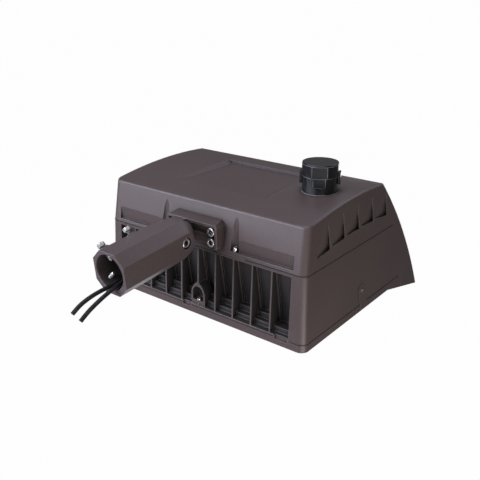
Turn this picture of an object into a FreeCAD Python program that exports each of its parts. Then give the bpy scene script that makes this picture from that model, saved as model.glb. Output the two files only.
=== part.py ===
"""LED flood light: a finned die-cast head that tilts on an octagonal slip fitter.

Millimetres. +Y points from the arm to the visor, +Z up, and +X to the right of someone who
looks at the finned rear. Shapes are drawn from the head's rear bottom edge at mid width, and
are moved at the end so that the origin is the centre of the slip fitter's mouth.
"""
import FreeCAD
import Part
import math
import os

# Head outline
HEAD_WIDTH = 476.0
TOP_WIDTH = 456.0
SEAM_Z = 141.0
HOUSING_LEAN = 6.0
COVER_LEAN = 12.7
ROOF_REAR_Z = 222.8
ROOF_FRONT_Y = 277.5
ROOF_FRONT_Z = 236.4
ROOF_RADIUS = 950.0
LIP_Y = 460.5
LIP_Z = -33.6
FRONT_RADIUS = 915.0
CORNER_RADIUS = 15.0
EDGE_RADIUS = 5.0
VISOR_START_Y = 315.0

# Castings
COVER_WALL = 4.0
HOUSING_WALL = 4.5
SEAM_GAP = 0.6
SEAL_SETBACK = 0.7

# Driver cover, rear face
COVER_FOOT = 6.5
COVER_REAR_DEPTH = 25.0
SCALLOP_X = 83.0
SCALLOP_RADIUS = 8.5
SCALLOP_AXIS_Y = 8.3
SCOOP_TOP_Z = 172.0
SCOOP_DEPTH = 5.5
SCOOP_OUTER_X = 207.0
SCOOP_MARGIN = -4.0
COVER_SCREW_RADIUS = 2.5
COVER_SCREW_HEAD_RADIUS = 4.3
COVER_SCREW_HEAD = 8.5
COVER_SCREW_LENGTH = 12.0
COVER_SCREW_Y = 12.0

# Driver cover, side louvres that follow the roof's edge
LOUVRE_COUNT = 5
LOUVRE_FIRST_Y = 83.6
LOUVRE_PITCH = 48.3
LOUVRE_PITCH_GROWTH = 1.15
LOUVRE_LENGTH = 41.0
LOUVRE_LENGTH_GROWTH = 1.4
LOUVRE_LEAN = 7.0
LOUVRE_DROP = 64.0
LOUVRE_FALL = 2.5
LOUVRE_TOP_DROP = 16.0
LOUVRE_HEEL = 1.6
LOUVRE_TOE = 6.0
LOUVRE_LIP = 1.6
LOUVRE_POCKET = 6.0
LOUVRE_POCKET_RISE = 0.62
LOUVRE_SLOT = 2.0

# Driver cover, roof pad
PAD_HALF_WIDTH = 103.0
PAD_FRONT_Y = 226.0
PAD_REAR_Y = 74.0
PAD_DEPTH = 5.0

# Heat-sink housing
HOUSING_BASE_Z = 17.5
BAY_HALF_WIDTH = 205.5
BAY_TOP_Z = 135.5
BAY_TOP_DEPTH = 14.5
BAY_BASE_DEPTH = 35.0
BAY_BASE_Z = 44.0
BAY_FLOOR = 3.2
SHELF_TOP_Z = 41.0
SHELF_HALF_WIDTH = 155.0
SHELF_STEP_Z = 30.0
SHELF_FRONT_Y = 24.0
SHELF_STEP_Y = 13.0
FIN_PITCH = 41.3
FIN_SIDE_COUNT = 4
FIN_THICKNESS = 2.6
FIN_SETBACK = 1.0
FIN_ROOT_THICKNESS = 6.6
FIN_ROOT_HEIGHT = 4.0
LED_PLATE_Z = 40.0
LED_PLATE = 8.0
CHAMBER_HALF_WIDTH = 205.0
CHAMBER_REAR_Y = 46.0
CHAMBER_FRONT_Y = 354.0
VISOR_WALL = 5.0

# Screw arch in the middle of the fin bay
ARCH_HALF_WIDTH = 16.2
ARCH_SPRING_Z = 46.0
ARCH_APEX_Z = 68.0
ARCH_GROOVE_RADIUS = 13.4
ARCH_GROOVE_Y = 6.0
ARCH_BACK_Y = 25.5
ARCH_SCREW_Z = 30.0
ARCH_SCREW_HEAD_RADIUS = 3.6
ARCH_SCREW_HEAD = 3.5

# Lens frame
FRAME_BASE_Z = 3.0
FRAME_END_Y = 377.0
FRAME_END_GAP = 0.3
FRAME_RAIL = 30.0
FRAME_REBATE = 6.0
FRAME_FRONT_RAIL = 45.0
FRAME_LIP = 2.6
GLASS = 4.0
GLASS_SEAL = 1.0
GLASS_SEAL_SIDE = 2.0
FRAME_SEAL_WIDTH = 9.0
FRAME_SEAL_INSET = 5.2
NOTCHES = ((-204.0, -177.0), (-37.0, -16.5), (177.0, 204.0))
NOTCH_DROP = 3.5
NOTCH_DEPTH = 4.5
TAB_FOOT = (200.0, 227.0)
TAB_RADIUS = 12.0
TAB_SCREW_Y = 200.0
TAB_SCREW_Z = 46.5
TAB_PROUD = 0.9
TAB_SCREW_HEAD_RADIUS = 3.2
TAB_SCREW_HEAD = 1.8

# Light engine
BOARD_HALF_WIDTH = 170.0
BOARD_MARGIN = 22.0
BOARD = 2.0
EMITTER_COLUMNS = 8
EMITTER_ROWS = 6
EMITTER_PITCH = 40.0
EMITTER_SIZE = 7.0
EMITTER = 1.6
BOARD_SCREW_RADIUS = 2.0
BOARD_SCREW_HEAD_RADIUS = 3.8
BOARD_SCREW_HEAD = 2.4
BOARD_SCREW_LENGTH = 7.0
BOARD_SCREW_INSET = 8.0

# Driver compartment
DRIVER_LENGTH = 250.0
DRIVER_DEPTH = 76.0
DRIVER_HEIGHT = 40.0
DRIVER_Y = 150.0
DRIVER_FOOT = 18.0
DRIVER_FOOT_HEIGHT = 3.0
DRIVER_SCREW_RADIUS = 2.5
DRIVER_SCREW_HEAD_RADIUS = 4.5
DRIVER_SCREW_HEAD = 3.5
DRIVER_SCREW_LENGTH = 9.0
SURGE_SIZE = (62.0, 40.0, 30.0)
SURGE_SIDE = 88.0
SURGE_Y = 236.0
TERMINAL_SIZE = (72.0, 24.0, 20.0)
TERMINAL_PLACE = (90.0, 236.0)
TERMINAL_POLES = 6
TERMINAL_PORT_RADIUS = 2.6

# Photocontrol and its receptacle
PHOTO_SIDE = 69.0
PHOTO_Y = 159.3
SOCKET_SEAT_DEPTH = 2.2
SOCKET_SEAL = 1.8
SOCKET_SEAL_RADIUS = 33.0
SOCKET_BASE_RADIUS = 31.8
SOCKET_TOP_RADIUS = 32.1
SOCKET_HEIGHT = 29.2
SOCKET_NECK_RADIUS = 24.0
SOCKET_NECK = 18.0
SOCKET_BOSS_RADIUS = 30.0
SOCKET_BOSS = 9.0
SOCKET_NUT_RADIUS = 29.0
SOCKET_NUT = 6.0
SOCKET_FLAT_FROM = 13.0
SOCKET_FLAT_AT = 30.2
CAP_GAP = 0.5
CAP_RADIUS = 33.3
CAP_TOP_RADIUS = 32.6
CAP_HEIGHT = 23.6
CAP_DISC = 3.2
CAP_RIM = 1.2
CAP_EDGE = 2.0
CAP_FLAT_AT = 29.6
FLAT_HEADING = 29.0
LUG_REACH = 36.8
LUG_WIDTH = 17.0
LUG_FROM = 15.0
LUG_TO = 36.5
LUG_GAP = 0.6
BLADE_RADIUS = 15.0
BLADE_THICKNESS = 1.6
BLADE_ARC = 40.0
BLADE_DEPTH = 12.0
BLADE_COUNT = 3
TWIST_RANGE = 20.0
BLADE_PLAY = 0.6

# Knuckle bracket on the cover's rear face
BRACKET_TOP_RISE = 4.0
BRACKET_FRONT_Y = -11.0
BRACKET_SEAL = 1.5
BRACKET_SEAL_INSET = 2.0
BRACKET_BEVEL = 8.0
BRACKET_WALL = 4.75
BRACKET_ROOF = 4.7
POCKET_FLOOR_Y = 1.0
POCKET_PLAY = 0.8
POCKET_RIB = 3.0
POCKET_RIB_LENGTH = 36.0
BRACKET_BOLT_LOW_Z = 162.0
BRACKET_BOLT_RADIUS = 5.0
BRACKET_BOLT_HEAD_RADIUS = 8.0
BRACKET_BOLT_HEAD = 10.0
BRACKET_BOLT_LENGTH = 29.0
BRACKET_WASHER_RADIUS = 8.8
BRACKET_WASHER = 2.0
BRACKET_WASHER_GAP = 0.6
BRACKET_WASHER_SPACING = 1.9

# Knuckle and slip fitter arm
PIVOT_Y = -59.4
PIVOT_Z = 174.1
ARM_TILT = 5.2
ARM_LENGTH = 143.5
ARM_ACROSS = 70.5
ARM_CHAMFER = 18.0
ARM_DROP = 3.5
KNUCKLE_FACE_X = -10.5
KNUCKLE_GAP = 0.3
EAR_RADIUS = 21.0
EAR_CLEARANCE = 4.0
TENON_BORE_RADIUS = 30.75
TENON_BORE_DEPTH = 105.0
MOUTH_EDGE = 0.8
PIVOT_RADIUS = 6.0
PIVOT_HEAD_RADIUS = 9.0
PIVOT_HEAD = 12.0
PIVOT_RECESS_RADIUS = 10.6
PIVOT_RECESS = 13.0
PIVOT_WASHER_RADIUS = 12.0
PIVOT_WASHER = 2.2
PIVOT_NUT_ACROSS = 19.0
PIVOT_NUT = 10.0
PIVOT_END = 2.5

# Set screws that clamp the tenon, by their distance from the mouth and how far each is backed off
SET_SCREW_UPPER = ((18.0, 0.0), (77.2, 4.7))
SET_SCREW_LOWER = ((18.0, 0.0), (72.0, 0.0))
SET_SCREW_BOSS_RADIUS = 9.5
SET_SCREW_BOSS = 3.0
SET_SCREW_RADIUS = 4.0
SET_SCREW_HEAD_ACROSS = 12.0
SET_SCREW_HEAD = 7.0
SET_SCREW_STANDOFF = 2.5
SET_SCREW_REACH = 15.0

# Supply cables, in the finished frame with the mouth's centre at the origin
CABLE_RADIUS = 3.5
POWER_CABLE = ((2.0, 115.0, -4.8), (2.0, 98.0, -6.4), (1.4, 76.0, -11.0), (0.6, 50.0, -17.6),
               (0.2, 24.0, -22.0), (0.0, -6.0, -23.3), (0.0, -32.0, -24.9), (0.0, -53.0, -29.2),
               (0.2, -66.5, -34.4), (0.5, -76.7, -40.4))
CONTROL_CABLE = ((12.0, 115.0, -4.8), (12.0, 98.0, -6.3), (11.6, 76.0, -9.9), (10.8, 52.0, -14.2),
                 (10.0, 28.0, -17.4), (9.6, 4.0, -22.0), (9.6, -22.0, -29.6), (9.8, -42.0, -37.0),
                 (10.0, -57.5, -43.9), (10.2, -70.5, -52.2))
GROMMET_RADIUS = 12.0
GROMMET_FLANGE_RADIUS = 13.6
GROMMET_FLANGE = 2.0
GROMMET_DEPTH = 11.0

# Clearances
HOLE_PLAY = 0.1
RUNNING_PLAY = 0.06
SEAT_PLAY = 0.2
FAR = 700.0

Vec = FreeCAD.Vector
X_AXIS = Vec(1, 0, 0)
Y_AXIS = Vec(0, 1, 0)
Z_AXIS = Vec(0, 0, 1)

COVER_BASE_Z = SEAM_Z + SEAM_GAP / 2
HOUSING_TOP_Z = SEAM_Z - SEAM_GAP / 2
FRAME_TOP_Z = HOUSING_BASE_Z - SEAM_GAP
REBATE_Z = FRAME_BASE_Z + FRAME_LIP
FLOOR_Z = LED_PLATE_Z + LED_PLATE
FOOT_TOP_Z = COVER_BASE_Z + COVER_FOOT
ARM_HALF = ARM_ACROSS / 2
PHOTO_X = TOP_WIDTH / 2 - PHOTO_SIDE
BRACKET_BOLT_X = ARM_HALF + BRACKET_WASHER_GAP + BRACKET_WASHER_RADIUS
BRACKET_BOLT_HIGH_Z = BRACKET_BOLT_LOW_Z + 2 * BRACKET_WASHER_RADIUS + BRACKET_WASHER_SPACING
BRACKET_BOLT_Z = (BRACKET_BOLT_LOW_Z, BRACKET_BOLT_HIGH_Z)
POCKET_HALF_WIDTH = BRACKET_BOLT_X + BRACKET_WASHER_RADIUS + POCKET_PLAY
POCKET_TOP_Z = BRACKET_BOLT_Z[1] + BRACKET_WASHER_RADIUS + POCKET_PLAY
BRACKET_HALF_WIDTH = POCKET_HALF_WIDTH + BRACKET_WALL
BRACKET_BASE_Z = BRACKET_BOLT_LOW_Z - BRACKET_WASHER_RADIUS - POCKET_PLAY
BRACKET_TOP_Z = POCKET_TOP_Z + BRACKET_ROOF
SET_SCREWS = [(1, at, out) for at, out in SET_SCREW_UPPER] + [(-1, at, out) for at, out in SET_SCREW_LOWER]
TILT = math.radians(ARM_TILT)
MOUTH = Vec(0, PIVOT_Y - ARM_LENGTH * math.cos(TILT), PIVOT_Z - ARM_LENGTH * math.sin(TILT))


# Small helpers

def box(x0, x1, y0, y1, z0, z1):
    """A box between two corners."""
    return Part.makeBox(x1 - x0, y1 - y0, z1 - z0, Vec(x0, y0, z0))


def cylinder(radius, start, axis, length):
    """A cylinder from a start point along an axis."""
    return Part.makeCylinder(radius, length, start, axis)


def across(points, x0, x1):
    """A prism along X from the (y, z) corners of its section."""
    corners = [Vec(x0, y, z) for y, z in points]
    face = Part.Face(Part.makePolygon(corners + corners[:1]))
    return face.extrude(Vec(x1 - x0, 0, 0))


def along(points, y0, y1):
    """A prism along Y from the (x, z) corners of its section."""
    corners = [Vec(x, y0, z) for x, z in points]
    face = Part.Face(Part.makePolygon(corners + corners[:1]))
    return face.extrude(Vec(0, y1 - y0, 0))


def hexagon(width, start, axis, length):
    """A hexagonal prism with that width across its flats."""
    radius = width / math.sqrt(3)
    corners = [Vec(radius * math.cos(a), radius * math.sin(a), 0)
               for a in (math.radians(60 * i) for i in range(6))]
    solid = Part.Face(Part.makePolygon(corners + corners[:1])).extrude(Vec(0, 0, length))
    turn = FreeCAD.Rotation(Z_AXIS, axis)
    solid.Placement = FreeCAD.Placement(start, turn)
    return solid


def mirrored(solid):
    """The solid's twin on the other side of the middle plane."""
    return solid.mirror(Vec(0, 0, 0), X_AXIS)


def socket_screw(head_radius, head, radius, length, seat, axis):
    """A socket-head screw whose head sits on seat and whose shank runs along axis."""
    top = seat - axis * head
    screw = cylinder(head_radius, top, axis, head).fuse(cylinder(radius, seat, axis, length))
    key = hexagon(head_radius, top, axis, head / 2)
    rim = [e for e in screw.Edges if isinstance(e.Curve, Part.Circle)
           and abs(e.Curve.Radius - head_radius) < 1e-6 and (e.Curve.Center - top).Length < 1e-6]
    return screw.makeFillet(head / 8, rim).cut(key)


def ring(outer, inner, start, axis, length):
    """A washer-like ring."""
    return cylinder(outer, start, axis, length).cut(cylinder(inner, start, axis, length))


def group(solids):
    """Separate solids kept together as one piece of the list."""
    return Part.makeCompound(solids)


# Head outline

def rear_y(z, inset=0.0):
    """The rear face's place at a height."""
    if z <= SEAM_Z:
        return HOUSING_LEAN * z / SEAM_Z + inset
    return HOUSING_LEAN + COVER_LEAN * (z - SEAM_Z) / (ROOF_REAR_Z - SEAM_Z) + inset


def half_width(z, inset=0.0):
    """Half the head's width at a height."""
    taper = (HEAD_WIDTH - TOP_WIDTH) / 2
    return HEAD_WIDTH / 2 - taper * z / ROOF_FRONT_Z - inset


def arc_centre(p, q, radius):
    """Centre of the circle of that radius through p and q, to the right of the way from p to q."""
    dy, dz = q[0] - p[0], q[1] - p[1]
    chord = math.hypot(dy, dz)
    rise = math.sqrt(radius ** 2 - chord ** 2 / 4)
    return (p[0] + q[0]) / 2 + rise * dz / chord, (p[1] + q[1]) / 2 - rise * dy / chord


ROOF_REAR = (HOUSING_LEAN + COVER_LEAN, ROOF_REAR_Z)
ROOF_FRONT = (ROOF_FRONT_Y, ROOF_FRONT_Z)
ROOF_CENTRE = arc_centre(ROOF_REAR, ROOF_FRONT, ROOF_RADIUS)
FRONT_CENTRE = arc_centre(ROOF_FRONT, (LIP_Y, LIP_Z), FRONT_RADIUS)
PROFILE_BASE_Z = LIP_Z - 2 * VISOR_WALL


def roof_z(y, inset=0.0):
    """The roof's height at a distance from the rear."""
    return ROOF_CENTRE[1] + math.sqrt((ROOF_RADIUS - inset) ** 2 - (y - ROOF_CENTRE[0]) ** 2)


def front_y(z, inset=0.0):
    """The curved front's place at a height."""
    return FRONT_CENTRE[0] + math.sqrt((FRONT_RADIUS - inset) ** 2 - (z - FRONT_CENTRE[1]) ** 2)


def brow(inset):
    """The corner where the inset roof meets the inset front."""
    dy, dz = FRONT_CENTRE[0] - ROOF_CENTRE[0], FRONT_CENTRE[1] - ROOF_CENTRE[1]
    gap = math.hypot(dy, dz)
    roof, front = ROOF_RADIUS - inset, FRONT_RADIUS - inset
    run = (roof ** 2 - front ** 2 + gap ** 2) / (2 * gap)
    side = math.sqrt(roof ** 2 - run ** 2)
    return (ROOF_CENTRE[0] + run * dy / gap + side * dz / gap,
            ROOF_CENTRE[1] + run * dz / gap - side * dy / gap)


def taper_block(inset):
    """The drafted block between the head's two sides."""
    low, top = PROFILE_BASE_Z, 2 * ROOF_FRONT_Z
    corners = [(-half_width(low, inset), low), (half_width(low, inset), low),
               (half_width(top, inset), top), (-half_width(top, inset), top)]
    return along(corners, -FAR, FAR)


def head_form(inset, foot_z, crest_z):
    """The head's form, or one drawn in by a wall, with the rear plane that runs from foot to crest."""
    slope = (rear_y(crest_z) - rear_y(foot_z)) / (crest_z - foot_z)
    low = (rear_y(foot_z, inset) + slope * (PROFILE_BASE_Z - foot_z), PROFILE_BASE_Z)
    crest_y, crest = rear_y(crest_z, inset), crest_z
    for _ in range(20):
        crest = roof_z(crest_y, inset)
        crest_y = rear_y(foot_z, inset) + slope * (crest - foot_z)
    front = brow(inset)
    mid_roof_y = (crest_y + front[0]) / 2
    mid_front_z = (front[1] + PROFILE_BASE_Z) / 2
    points = [low, (crest_y, crest), (mid_roof_y, roof_z(mid_roof_y, inset)), front,
              (front_y(mid_front_z, inset), mid_front_z), (front_y(PROFILE_BASE_Z, inset), PROFILE_BASE_Z)]
    p = [Vec(-FAR, y, z) for y, z in points]
    edges = [Part.makeLine(p[0], p[1]), Part.Arc(p[1], p[2], p[3]).toShape(),
             Part.Arc(p[3], p[4], p[5]).toShape(), Part.makeLine(p[5], p[0])]
    form = Part.Face(Part.Wire(edges)).extrude(Vec(2 * FAR, 0, 0)).common(taper_block(inset))
    corner = [e for e in form.Edges if e.BoundBox.YMax < crest_y + 1 and e.BoundBox.ZLength > SEAM_Z]
    form = form.makeFillet(CORNER_RADIUS - inset, corner)
    if inset < EDGE_RADIUS / 2:
        upper = [e for e in form.Edges if e.BoundBox.ZMin > 0.9 * ROOF_REAR_Z]
        sides = [e for e in form.Edges if e.BoundBox.ZMin < 0 and e.BoundBox.ZMax > ROOF_REAR_Z
                 and e.BoundBox.YMax > LIP_Y]
        form = form.makeFillet(EDGE_RADIUS - inset, upper + sides)
    return form


def cover_form(inset):
    """The form with the cover's rear plane."""
    return head_form(inset, SEAM_Z, ROOF_REAR_Z)


def housing_form(inset):
    """The form with the housing's rear plane."""
    return head_form(inset, 0.0, SEAM_Z)


# Driver cover

def side_prism(outline, start):
    """A solid between start and each corner's own depth behind the right side, over a (y, z, depth) outline."""
    outer = [Vec(half_width(z) - start, y, z) for y, z, _ in outline]
    inner = [Vec(half_width(z) - depth, y, z) for y, z, depth in outline]
    walls = [[outer[i], outer[i - 1], inner[i - 1], inner[i]] for i in range(len(outline))]
    faces = [Part.Face(Part.makePolygon(f + f[:1])) for f in [outer, inner] + walls]
    return Part.Solid(Part.Shell(faces))


def louvre_limits(index):
    """One louvre's rear and front ends along its lower edge."""
    y1 = LOUVRE_FIRST_Y + LOUVRE_PITCH * index + LOUVRE_PITCH_GROWTH * index ** 2
    return y1 - LOUVRE_LENGTH - LOUVRE_LENGTH_GROWTH * index, y1


def louvre(index):
    """The tapered notch of one louvre, deepest at its front end."""
    y0, y1 = louvre_limits(index)
    low0, low1 = roof_z(y0) - LOUVRE_DROP, roof_z(y1) - LOUVRE_DROP - LOUVRE_FALL
    crest_y, crest = y1 - LOUVRE_LEAN, roof_z(y1) - LOUVRE_TOP_DROP
    run, rise, crest_run, crest_rise = y1 - y0, low1 - low0, crest_y - y0, crest - low0
    deeper, shallower = LOUVRE_TOE - LOUVRE_HEEL, -LOUVRE_HEEL
    fall = (shallower * run - deeper * crest_run) / (crest_rise * run - rise * crest_run)
    fade = low0 - LOUVRE_HEEL / fall
    outline = [(y0, low0, LOUVRE_HEEL), (y0, fade, 0.0), (crest_y, crest, 0.0), (y1, low1, LOUVRE_TOE)]
    return side_prism(outline, -COVER_WALL)


def louvre_pocket(index):
    """The undercut behind the louvre's lower lip and front lip."""
    y0, y1 = louvre_limits(index)
    first = y0 + LOUVRE_LENGTH / 16
    low0, low1 = roof_z(y0) - LOUVRE_DROP, roof_z(y1) - LOUVRE_DROP - LOUVRE_FALL
    low = low0 + (low1 - low0) * (first - y0) / (y1 - y0)
    tip_y, tip = y1 - LOUVRE_POCKET_RISE * LOUVRE_LEAN, low1 + LOUVRE_POCKET_RISE * (LOUVRE_DROP - LOUVRE_TOP_DROP)
    corners = [(first, low - LOUVRE_SLOT), (first, low + SEAT_PLAY), (y1 - SEAT_PLAY, low1 + SEAT_PLAY),
               (tip_y - SEAT_PLAY, tip), (y1 + LOUVRE_POCKET, low1 - LOUVRE_SLOT)]
    return side_prism([(y, z, LOUVRE_TOE) for y, z in corners], LOUVRE_LIP)


def louvre_skin(index):
    """The skin inside the cover that backs one louvre and its pocket."""
    y0, y1 = louvre_limits(index)
    y0, y1 = y0 - COVER_WALL, y1 + LOUVRE_POCKET + COVER_WALL
    low = roof_z(y0) - LOUVRE_DROP - LOUVRE_FALL - LOUVRE_SLOT - COVER_WALL
    top = roof_z(y1) - LOUVRE_TOP_DROP + COVER_WALL
    depth = LOUVRE_TOE + COVER_WALL
    outline = [(y0, low, depth), (y0, top, COVER_WALL), (y1, top, COVER_WALL), (y1, low, depth)]
    return side_prism(outline, COVER_WALL / 2)


def scoop(side):
    """The wedge under the rear face that leaves the cover's foot standing."""
    y = rear_y(FOOT_TOP_Z) + SCOOP_DEPTH
    section = [(rear_y(SCOOP_TOP_Z), SCOOP_TOP_Z), (y, FOOT_TOP_Z), (-FAR, FOOT_TOP_Z), (-FAR, SCOOP_TOP_Z)]
    inner_x = SCALLOP_X + SCALLOP_RADIUS + SCOOP_MARGIN
    wedge = across(section, inner_x, SCOOP_OUTER_X)
    return wedge if side > 0 else mirrored(wedge)


def roof_pad(wall):
    """The shallow flat that sinks into the roof, or, with a wall, the block that backs it."""
    y0, y1 = PAD_REAR_Y - wall, PAD_FRONT_Y + wall
    rear, front = roof_z(PAD_REAR_Y) - wall, roof_z(PAD_FRONT_Y) - PAD_DEPTH - wall
    pad = across([(y0, rear), (y1, front), (y1, FAR), (y0, FAR)], -PAD_HALF_WIDTH - wall, PAD_HALF_WIDTH + wall)
    corner = [e for e in pad.Edges if e.BoundBox.ZLength > FAR / 3 and e.BoundBox.YMin > y1 - 1]
    return pad.makeFillet(PAD_DEPTH + wall, corner)


def cover_screw_spots():
    """Where the two rear screws hold the cover's foot to the housing."""
    return [Vec(side * SCALLOP_X, COVER_SCREW_Y, FOOT_TOP_Z) for side in (-1, 1)]


def bracket_bolt_spots():
    """Where the four bracket bolts seat on their washers."""
    return [Vec(side * BRACKET_BOLT_X, POCKET_FLOOR_Y, z) for side in (-1, 1) for z in BRACKET_BOLT_Z]


SOCKET_SEAT_Z = roof_z(PHOTO_Y) - SOCKET_SEAT_DEPTH
SOCKET_BASE_Z = SOCKET_SEAT_Z + SOCKET_SEAL
SOCKET_TOP_Z = SOCKET_BASE_Z + SOCKET_HEIGHT
CAP_BASE_Z = SOCKET_TOP_Z + CAP_GAP


def over_photo(z):
    """The point at that height on the photocontrol's axis."""
    return Vec(PHOTO_X, PHOTO_Y, z)


def driver_cover(form, cavity):
    """The upper casting: a shell with louvred sides, scooped rear and photocontrol seat."""
    above = box(-FAR, FAR, -FAR, FAR, COVER_BASE_Z, FAR)
    hollow = cavity.common(box(-FAR, FAR, COVER_REAR_DEPTH, FAR, 0, FAR))
    cover = form.common(above).cut(hollow)
    skins = [louvre_skin(i).common(form) for i in range(LOUVRE_COUNT)]
    skins += [mirrored(s) for s in skins]
    boss = cylinder(SOCKET_BOSS_RADIUS, over_photo(SOCKET_SEAT_Z - SOCKET_BOSS), Z_AXIS, SOCKET_BOSS)
    cover = cover.fuse(skins + [boss, roof_pad(COVER_WALL).common(form)]).removeSplitter()
    for carve in (louvre, louvre_pocket):
        right = [carve(i) for i in range(LOUVRE_COUNT)]
        cover = cover.cut(right + [mirrored(c) for c in right])
    cuts = [scoop(1), scoop(-1), roof_pad(0.0)]
    for spot in cover_screw_spots():
        cuts.append(cylinder(SCALLOP_RADIUS, Vec(spot.x, SCALLOP_AXIS_Y, FOOT_TOP_Z), Z_AXIS, FAR))
        cuts.append(cylinder(COVER_SCREW_RADIUS + HOLE_PLAY, spot, -Z_AXIS, FAR))
    for spot in bracket_bolt_spots():
        cuts.append(cylinder(BRACKET_BOLT_RADIUS + HOLE_PLAY, spot, Y_AXIS, COVER_REAR_DEPTH + COVER_WALL))
    seat = cylinder(SOCKET_SEAL_RADIUS + SEAT_PLAY, over_photo(SOCKET_SEAT_Z), Z_AXIS, FAR)
    neck = cylinder(SOCKET_NECK_RADIUS + SEAT_PLAY, over_photo(SEAM_Z), Z_AXIS, FAR)
    return cover.cut(cuts + [seat, neck])


def cover_screws():
    """Two stainless screws that stand in the scallops."""
    return group([socket_screw(COVER_SCREW_HEAD_RADIUS, COVER_SCREW_HEAD, COVER_SCREW_RADIUS,
                               COVER_SCREW_LENGTH, spot, -Z_AXIS) for spot in cover_screw_spots()])


def cover_gasket(cavity):
    """The seal in the seam between cover and housing."""
    slab = box(-FAR, FAR, -FAR, FAR, HOUSING_TOP_Z, COVER_BASE_Z)
    seal = housing_form(SEAL_SETBACK).common(slab)
    inner = cavity.common(box(-FAR, FAR, COVER_REAR_DEPTH, FAR, 0, FAR))
    holes = [cylinder(COVER_SCREW_RADIUS + HOLE_PLAY, spot, -Z_AXIS, FAR) for spot in cover_screw_spots()]
    return seal.cut([inner] + holes)


# Heat-sink housing

def bay_wall_y(z, proud=0.0):
    """The sloped wall at the back of the fin bay."""
    top = rear_y(BAY_TOP_Z) + BAY_TOP_DEPTH
    base = BAY_BASE_DEPTH
    return base + (top - base) * (z - BAY_BASE_Z) / (BAY_TOP_Z - BAY_BASE_Z) - proud


def fin_bay():
    """The open recess behind the fins, with a low step along its floor."""
    floor_z = HOUSING_BASE_Z + BAY_FLOOR
    section = [(-FAR, BAY_TOP_Z), (bay_wall_y(BAY_TOP_Z), BAY_TOP_Z), (bay_wall_y(SHELF_STEP_Z), SHELF_STEP_Z),
               (SHELF_STEP_Y, SHELF_STEP_Z), (SHELF_STEP_Y, floor_z), (-FAR, floor_z)]
    return across(section, -BAY_HALF_WIDTH, BAY_HALF_WIDTH)


def bay_shelf():
    """The raised shelf on the step, short of the bay's ends."""
    back = bay_wall_y(SHELF_TOP_Z) + HOUSING_WALL / 2
    return box(-SHELF_HALF_WIDTH, SHELF_HALF_WIDTH, SHELF_FRONT_Y, back, SHELF_STEP_Z - BAY_FLOOR, SHELF_TOP_Z)


def fin(x):
    """A fin flush with the rear face, thickened where it meets the sloped wall."""
    floor_z = HOUSING_BASE_Z + BAY_FLOOR / 2
    top_z = BAY_TOP_Z + BAY_FLOOR / 2
    step_z = SHELF_STEP_Z - BAY_FLOOR / 2
    wall = HOUSING_WALL / 2
    blade = [(rear_y(floor_z, FIN_SETBACK), floor_z), (rear_y(top_z, FIN_SETBACK), top_z),
             (bay_wall_y(top_z) + wall, top_z), (bay_wall_y(step_z) + wall, step_z),
             (SHELF_STEP_Y + wall, floor_z)]
    root = [(bay_wall_y(top_z, FIN_ROOT_HEIGHT), top_z), (bay_wall_y(top_z) + wall, top_z),
            (bay_wall_y(step_z) + wall, step_z), (bay_wall_y(step_z, FIN_ROOT_HEIGHT), step_z)]
    plate = across(blade, x - FIN_THICKNESS / 2, x + FIN_THICKNESS / 2)
    return plate.fuse(across(root, x - FIN_ROOT_THICKNESS / 2, x + FIN_ROOT_THICKNESS / 2))


def rim_notches():
    """The shallow notches where the housing's rear lip meets the frame."""
    z0, z1 = FRAME_TOP_Z - NOTCH_DROP, HOUSING_BASE_Z + BAY_FLOOR + SEAM_GAP
    return [box(x0, x1, -FAR, NOTCH_DEPTH, z0, z1) for x0, x1 in NOTCHES]


def screw_arch():
    """The arched boss in the middle of the bay that takes the frame's rear screw."""
    y0, y1 = rear_y(SHELF_TOP_Z, FIN_SETBACK), ARCH_BACK_Y
    low = HOUSING_BASE_Z + BAY_FLOOR / 2
    corners = [Vec(-ARCH_HALF_WIDTH, y0, ARCH_SPRING_Z), Vec(-ARCH_HALF_WIDTH, y0, low),
               Vec(ARCH_HALF_WIDTH, y0, low), Vec(ARCH_HALF_WIDTH, y0, ARCH_SPRING_Z)]
    crown = (ARCH_HALF_WIDTH / 2, ARCH_SPRING_Z + 0.72 * (ARCH_APEX_Z - ARCH_SPRING_Z))
    apex = Vec(0, y0, ARCH_APEX_Z)
    edges = [Part.makeLine(corners[0], corners[1]), Part.makeLine(corners[1], corners[2]),
             Part.makeLine(corners[2], corners[3]),
             Part.Arc(corners[3], Vec(crown[0], y0, crown[1]), apex).toShape(),
             Part.Arc(apex, Vec(-crown[0], y0, crown[1]), corners[0]).toShape()]
    return Part.Face(Part.Wire(edges)).extrude(Vec(0, y1 - y0, 0))


def arch_groove():
    """The round-topped groove in the arch that the screw stands in."""
    axis = Vec(0, ARCH_GROOVE_Y, ARCH_SCREW_Z)
    height = ARCH_SPRING_Z - ARCH_SCREW_Z
    top = Part.makeSphere(ARCH_GROOVE_RADIUS, axis + Z_AXIS * height)
    return cylinder(ARCH_GROOVE_RADIUS, axis, Z_AXIS, height).fuse(top)


def visor_dip(y):
    """The bottom edge's height, level at the sides and falling to the lip."""
    return FRAME_BASE_Z + (LIP_Z - FRAME_BASE_Z) * max(y - VISOR_START_Y, 0.0) / (LIP_Y - VISOR_START_Y)


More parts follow.
